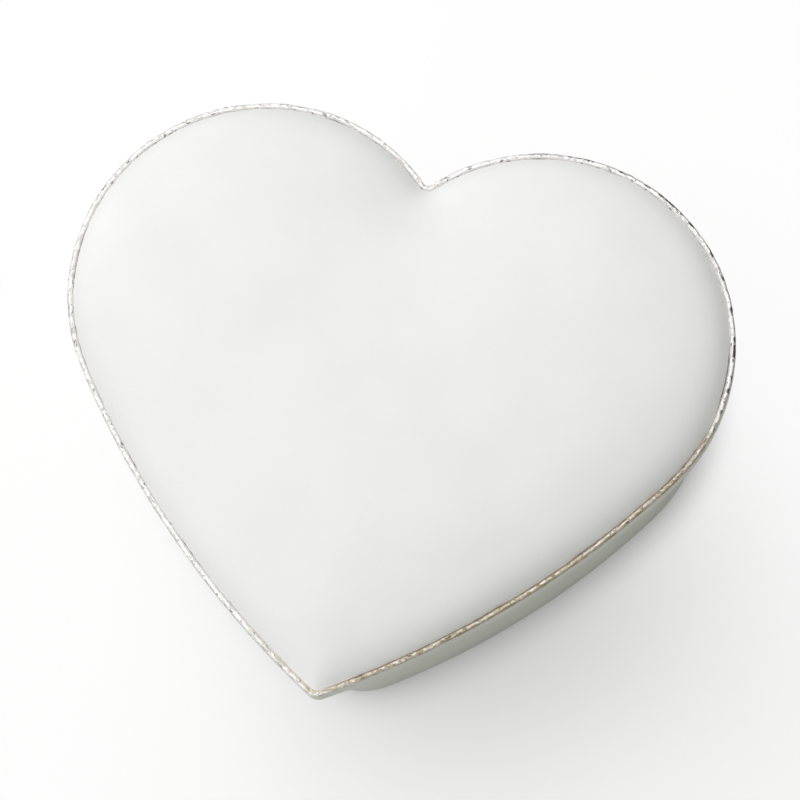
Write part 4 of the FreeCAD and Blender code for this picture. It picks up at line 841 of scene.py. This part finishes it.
def make_lid_lining():
    """Flocked card under the lid board, over the turned-in leatherette."""
    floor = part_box("lid_lining")[0].z
    thickness = LID_FLOOR - TURN_IN_ROOM - floor
    piece = plate("lid_flocking", LID_LINING_INSET, ROOM_TIP, floor, thickness, 0.3 * MM)
    smooth(piece)
    hand_in(piece, "lid", "felt", "lid_lining")
    lay_flat(piece)


def make_base_felt():
    """Felt under the base board, with a hole for the winding arbor."""
    low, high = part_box("base_felt")
    inset = LINING_INSET + 0.1 * MM
    thickness = high.z - low.z - GLUE
    piece = plate("base_felt_sheet", inset, ROOM_TIP + LINING, low.z, thickness, 0.15 * MM)
    foot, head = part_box("winding_arbor")
    middle = (foot + head) / 2
    cut_bore(piece, middle.x, middle.y, ARBOR_HOLE, low.z - LINING, high.z + LINING)
    smooth(piece)
    hand_in(piece, "box", "felt", "base_felt")
    lay_flat(piece)


def make_partitions():
    """Flocked boards round the movement, with soft wrapped edges."""
    for side in ("front", "left", "right"):
        low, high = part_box("partition_" + side)
        bpy.ops.object.select_all(action="DESELECT")
        bpy.ops.mesh.primitive_cube_add(size=1, location=(low + high) / 2, scale=high - low)
        piece = bpy.context.object
        piece.name = f"flocked_{side}_board"
        piece.data.name = piece.name
        bpy.ops.object.transform_apply(location=True, rotation=True, scale=True)
        apply_modifier(piece, "BEVEL", width=BOARD_EDGE, segments=4)
        smooth(piece)
        hand_in(piece, "box", "felt", "partition_" + side)


make_lid_cover()
make_piping()
make_lid_side()
make_body_side()
make_wall_lining()
make_floor_lining()
make_lid_lining()
make_base_felt()
make_partitions()


# The floor, the light and the camera.
FLOOR_SIZE = 6
FLOOR_BOUNCE = (0.6, 0.61, 0.53, 1)
FLOOR_WHITE = (0.995, 0.995, 0.995, 1)
CONTACT_REACH = 10 * MM
PAINTED_CONTACT_SHADOW = (0.2, 0.2, 0.2)
WHITE = (1, 1, 1)
DOME_LOW = (0.028, 0.031, 0.017)
DOME_HIGH = (0.76, 0.76, 0.76)
LIGHT_FROM = Vector((-0.302, 0.066, 0.951)).normalized()
LIGHT_DISTANCE = 1.0
LIGHT_SIZE = 0.9
LIGHT_ENERGY = 2.75
SIDE_GLOW = Vector((-0.88, 0.4, 0.25)).normalized()
CAMERA_TURN = math.radians(29.78)
CAMERA_LIFT = math.radians(76.54)
CAMERA_ROLL = math.radians(-17.99)
CAMERA_AIM = Vector((3.6, 1.8, 51.85)) * MM
CAMERA_DISTANCE = 0.51
CAMERA_LENS = 129.06
SENSOR_WIDTH = 36
CAMERA_REACH = (0.01, 20)


def make_floor():
    """A white floor, which the camera sees a little lighter than the light that it sends back, through a
    painted glow: stronger behind the box, on its left and far off, and greyed near the box as painted
    contact shadow.
    """
    bpy.ops.object.select_all(action="DESELECT")
    bpy.ops.mesh.primitive_plane_add(size=FLOOR_SIZE)
    floor = bpy.context.object
    floor.name = "floor"
    finish = Finish("floor")
    wire = finish.place
    seen = wire.node("LightPath", output="Is Camera Ray")
    bounced = wire.node("BsdfDiffuse", {"Color": FLOOR_BOUNCE})
    lit = wire.node("BsdfDiffuse", {"Color": FLOOR_WHITE})
    # Painted contact shadow: the camera's glow is painted grey near the box, where little of the sky is
    # open.
    open_sky = wire.node("AmbientOcclusion", {"Distance": CONTACT_REACH}, "AO", samples=16)
    white = open_sky.between(0.3, 0.95).blend(PAINTED_CONTACT_SHADOW, WHITE)
    glow = wire.node("Emission", {"Color": white, "Strength": 1})
    x, y, _ = finish.place.xyz()
    away = finish.place.node("VectorMath", {0: finish.place}, "Value", operation="LENGTH")
    # Painted light: the glow is stronger behind the box, on its left and far off, so the floor shows shade
    # only in front and to the right of it.
    behind = (y + x * 0.2).between(-30 * MM, 45 * MM)
    on_left = (0 - x).between(0, 55 * MM)
    share = 0.29 + behind * 0.58 + on_left * 0.45 + away.between(105 * MM, 280 * MM) * 0.8
    shown = wire.node("MixShader", {0: share, 1: lit, 2: glow})
    finish.tree.nodes.remove(finish.shader)
    surface = wire.node("MixShader", {0: seen, 1: bounced, 2: shown})
    finish.tree.links.new(surface.socket, finish.tree.nodes["Material Output"].inputs["Surface"])
    floor.data.materials.append(finish.material)


def make_world():
    """A soft dome, brighter towards the light, which the camera and shiny surfaces see as plain white."""
    world = bpy.data.worlds.new("dome")
    bpy.context.scene.world = world
    world.use_nodes = True
    tree = world.node_tree
    tree.nodes.clear()
    wire = Wire(tree)
    way = wire.node("TexCoord", output="Generated")
    towards = wire.node("VectorMath", {0: way, 1: tuple(LIGHT_FROM)}, "Value", operation="DOT_PRODUCT")
    aside = wire.node("VectorMath", {0: way, 1: tuple(SIDE_GLOW)}, "Value", operation="DOT_PRODUCT")
    colour = towards.between(-0.2, 1).blend(DOME_LOW, DOME_HIGH)
    colour = aside.between(-0.3, 0.8).blend(colour, WHITE)
    dome = wire.node("Background", {"Color": colour, "Strength": 1})
    white = wire.node("Background", {"Color": (*WHITE, 1), "Strength": 1})
    seen, mirrored, through = [wire.node("LightPath", output=f"Is {ray} Ray")
                               for ray in ("Camera", "Glossy", "Transmission")]
    shown = wire.node("MixShader", {0: seen + mirrored + through, 1: dome, 2: white})
    wire.node("OutputWorld", {"Surface": shown}, None)


def make_key_light():
    """One large soft lamp, high on the left."""
    bpy.ops.object.select_all(action="DESELECT")
    bpy.ops.object.light_add(type="AREA", location=LIGHT_FROM * LIGHT_DISTANCE)
    lamp = bpy.context.object
    lamp.name = "key_light"
    lamp.rotation_euler = LIGHT_FROM.to_track_quat("Z", "Y").to_euler()
    lamp.data.shape = "DISK"
    lamp.data.size = LIGHT_SIZE
    lamp.data.energy = LIGHT_ENERGY


def make_camera():
    """The camera, looking down steeply at the lid and rolled to one side."""
    bpy.ops.object.select_all(action="DESELECT")
    bpy.ops.object.camera_add()
    camera = bpy.context.object
    back = Vector((math.sin(CAMERA_TURN) * math.cos(CAMERA_LIFT),
                   -math.cos(CAMERA_TURN) * math.cos(CAMERA_LIFT), math.sin(CAMERA_LIFT)))
    right = Vector((math.cos(CAMERA_TURN), math.sin(CAMERA_TURN), 0))
    up = back.cross(right)
    across = right * math.cos(CAMERA_ROLL) + up * math.sin(CAMERA_ROLL)
    upward = up * math.cos(CAMERA_ROLL) - right * math.sin(CAMERA_ROLL)
    turn = Matrix((across, upward, back)).transposed().to_4x4()
    camera.matrix_world = Matrix.Translation(CAMERA_AIM + back * CAMERA_DISTANCE) @ turn
    camera.data.lens = CAMERA_LENS
    camera.data.sensor_width = SENSOR_WIDTH
    camera.data.clip_start, camera.data.clip_end = CAMERA_REACH
    bpy.context.scene.camera = camera


make_floor()
make_world()
make_key_light()
make_camera()
bpy.context.scene.view_settings.view_transform = "Standard"
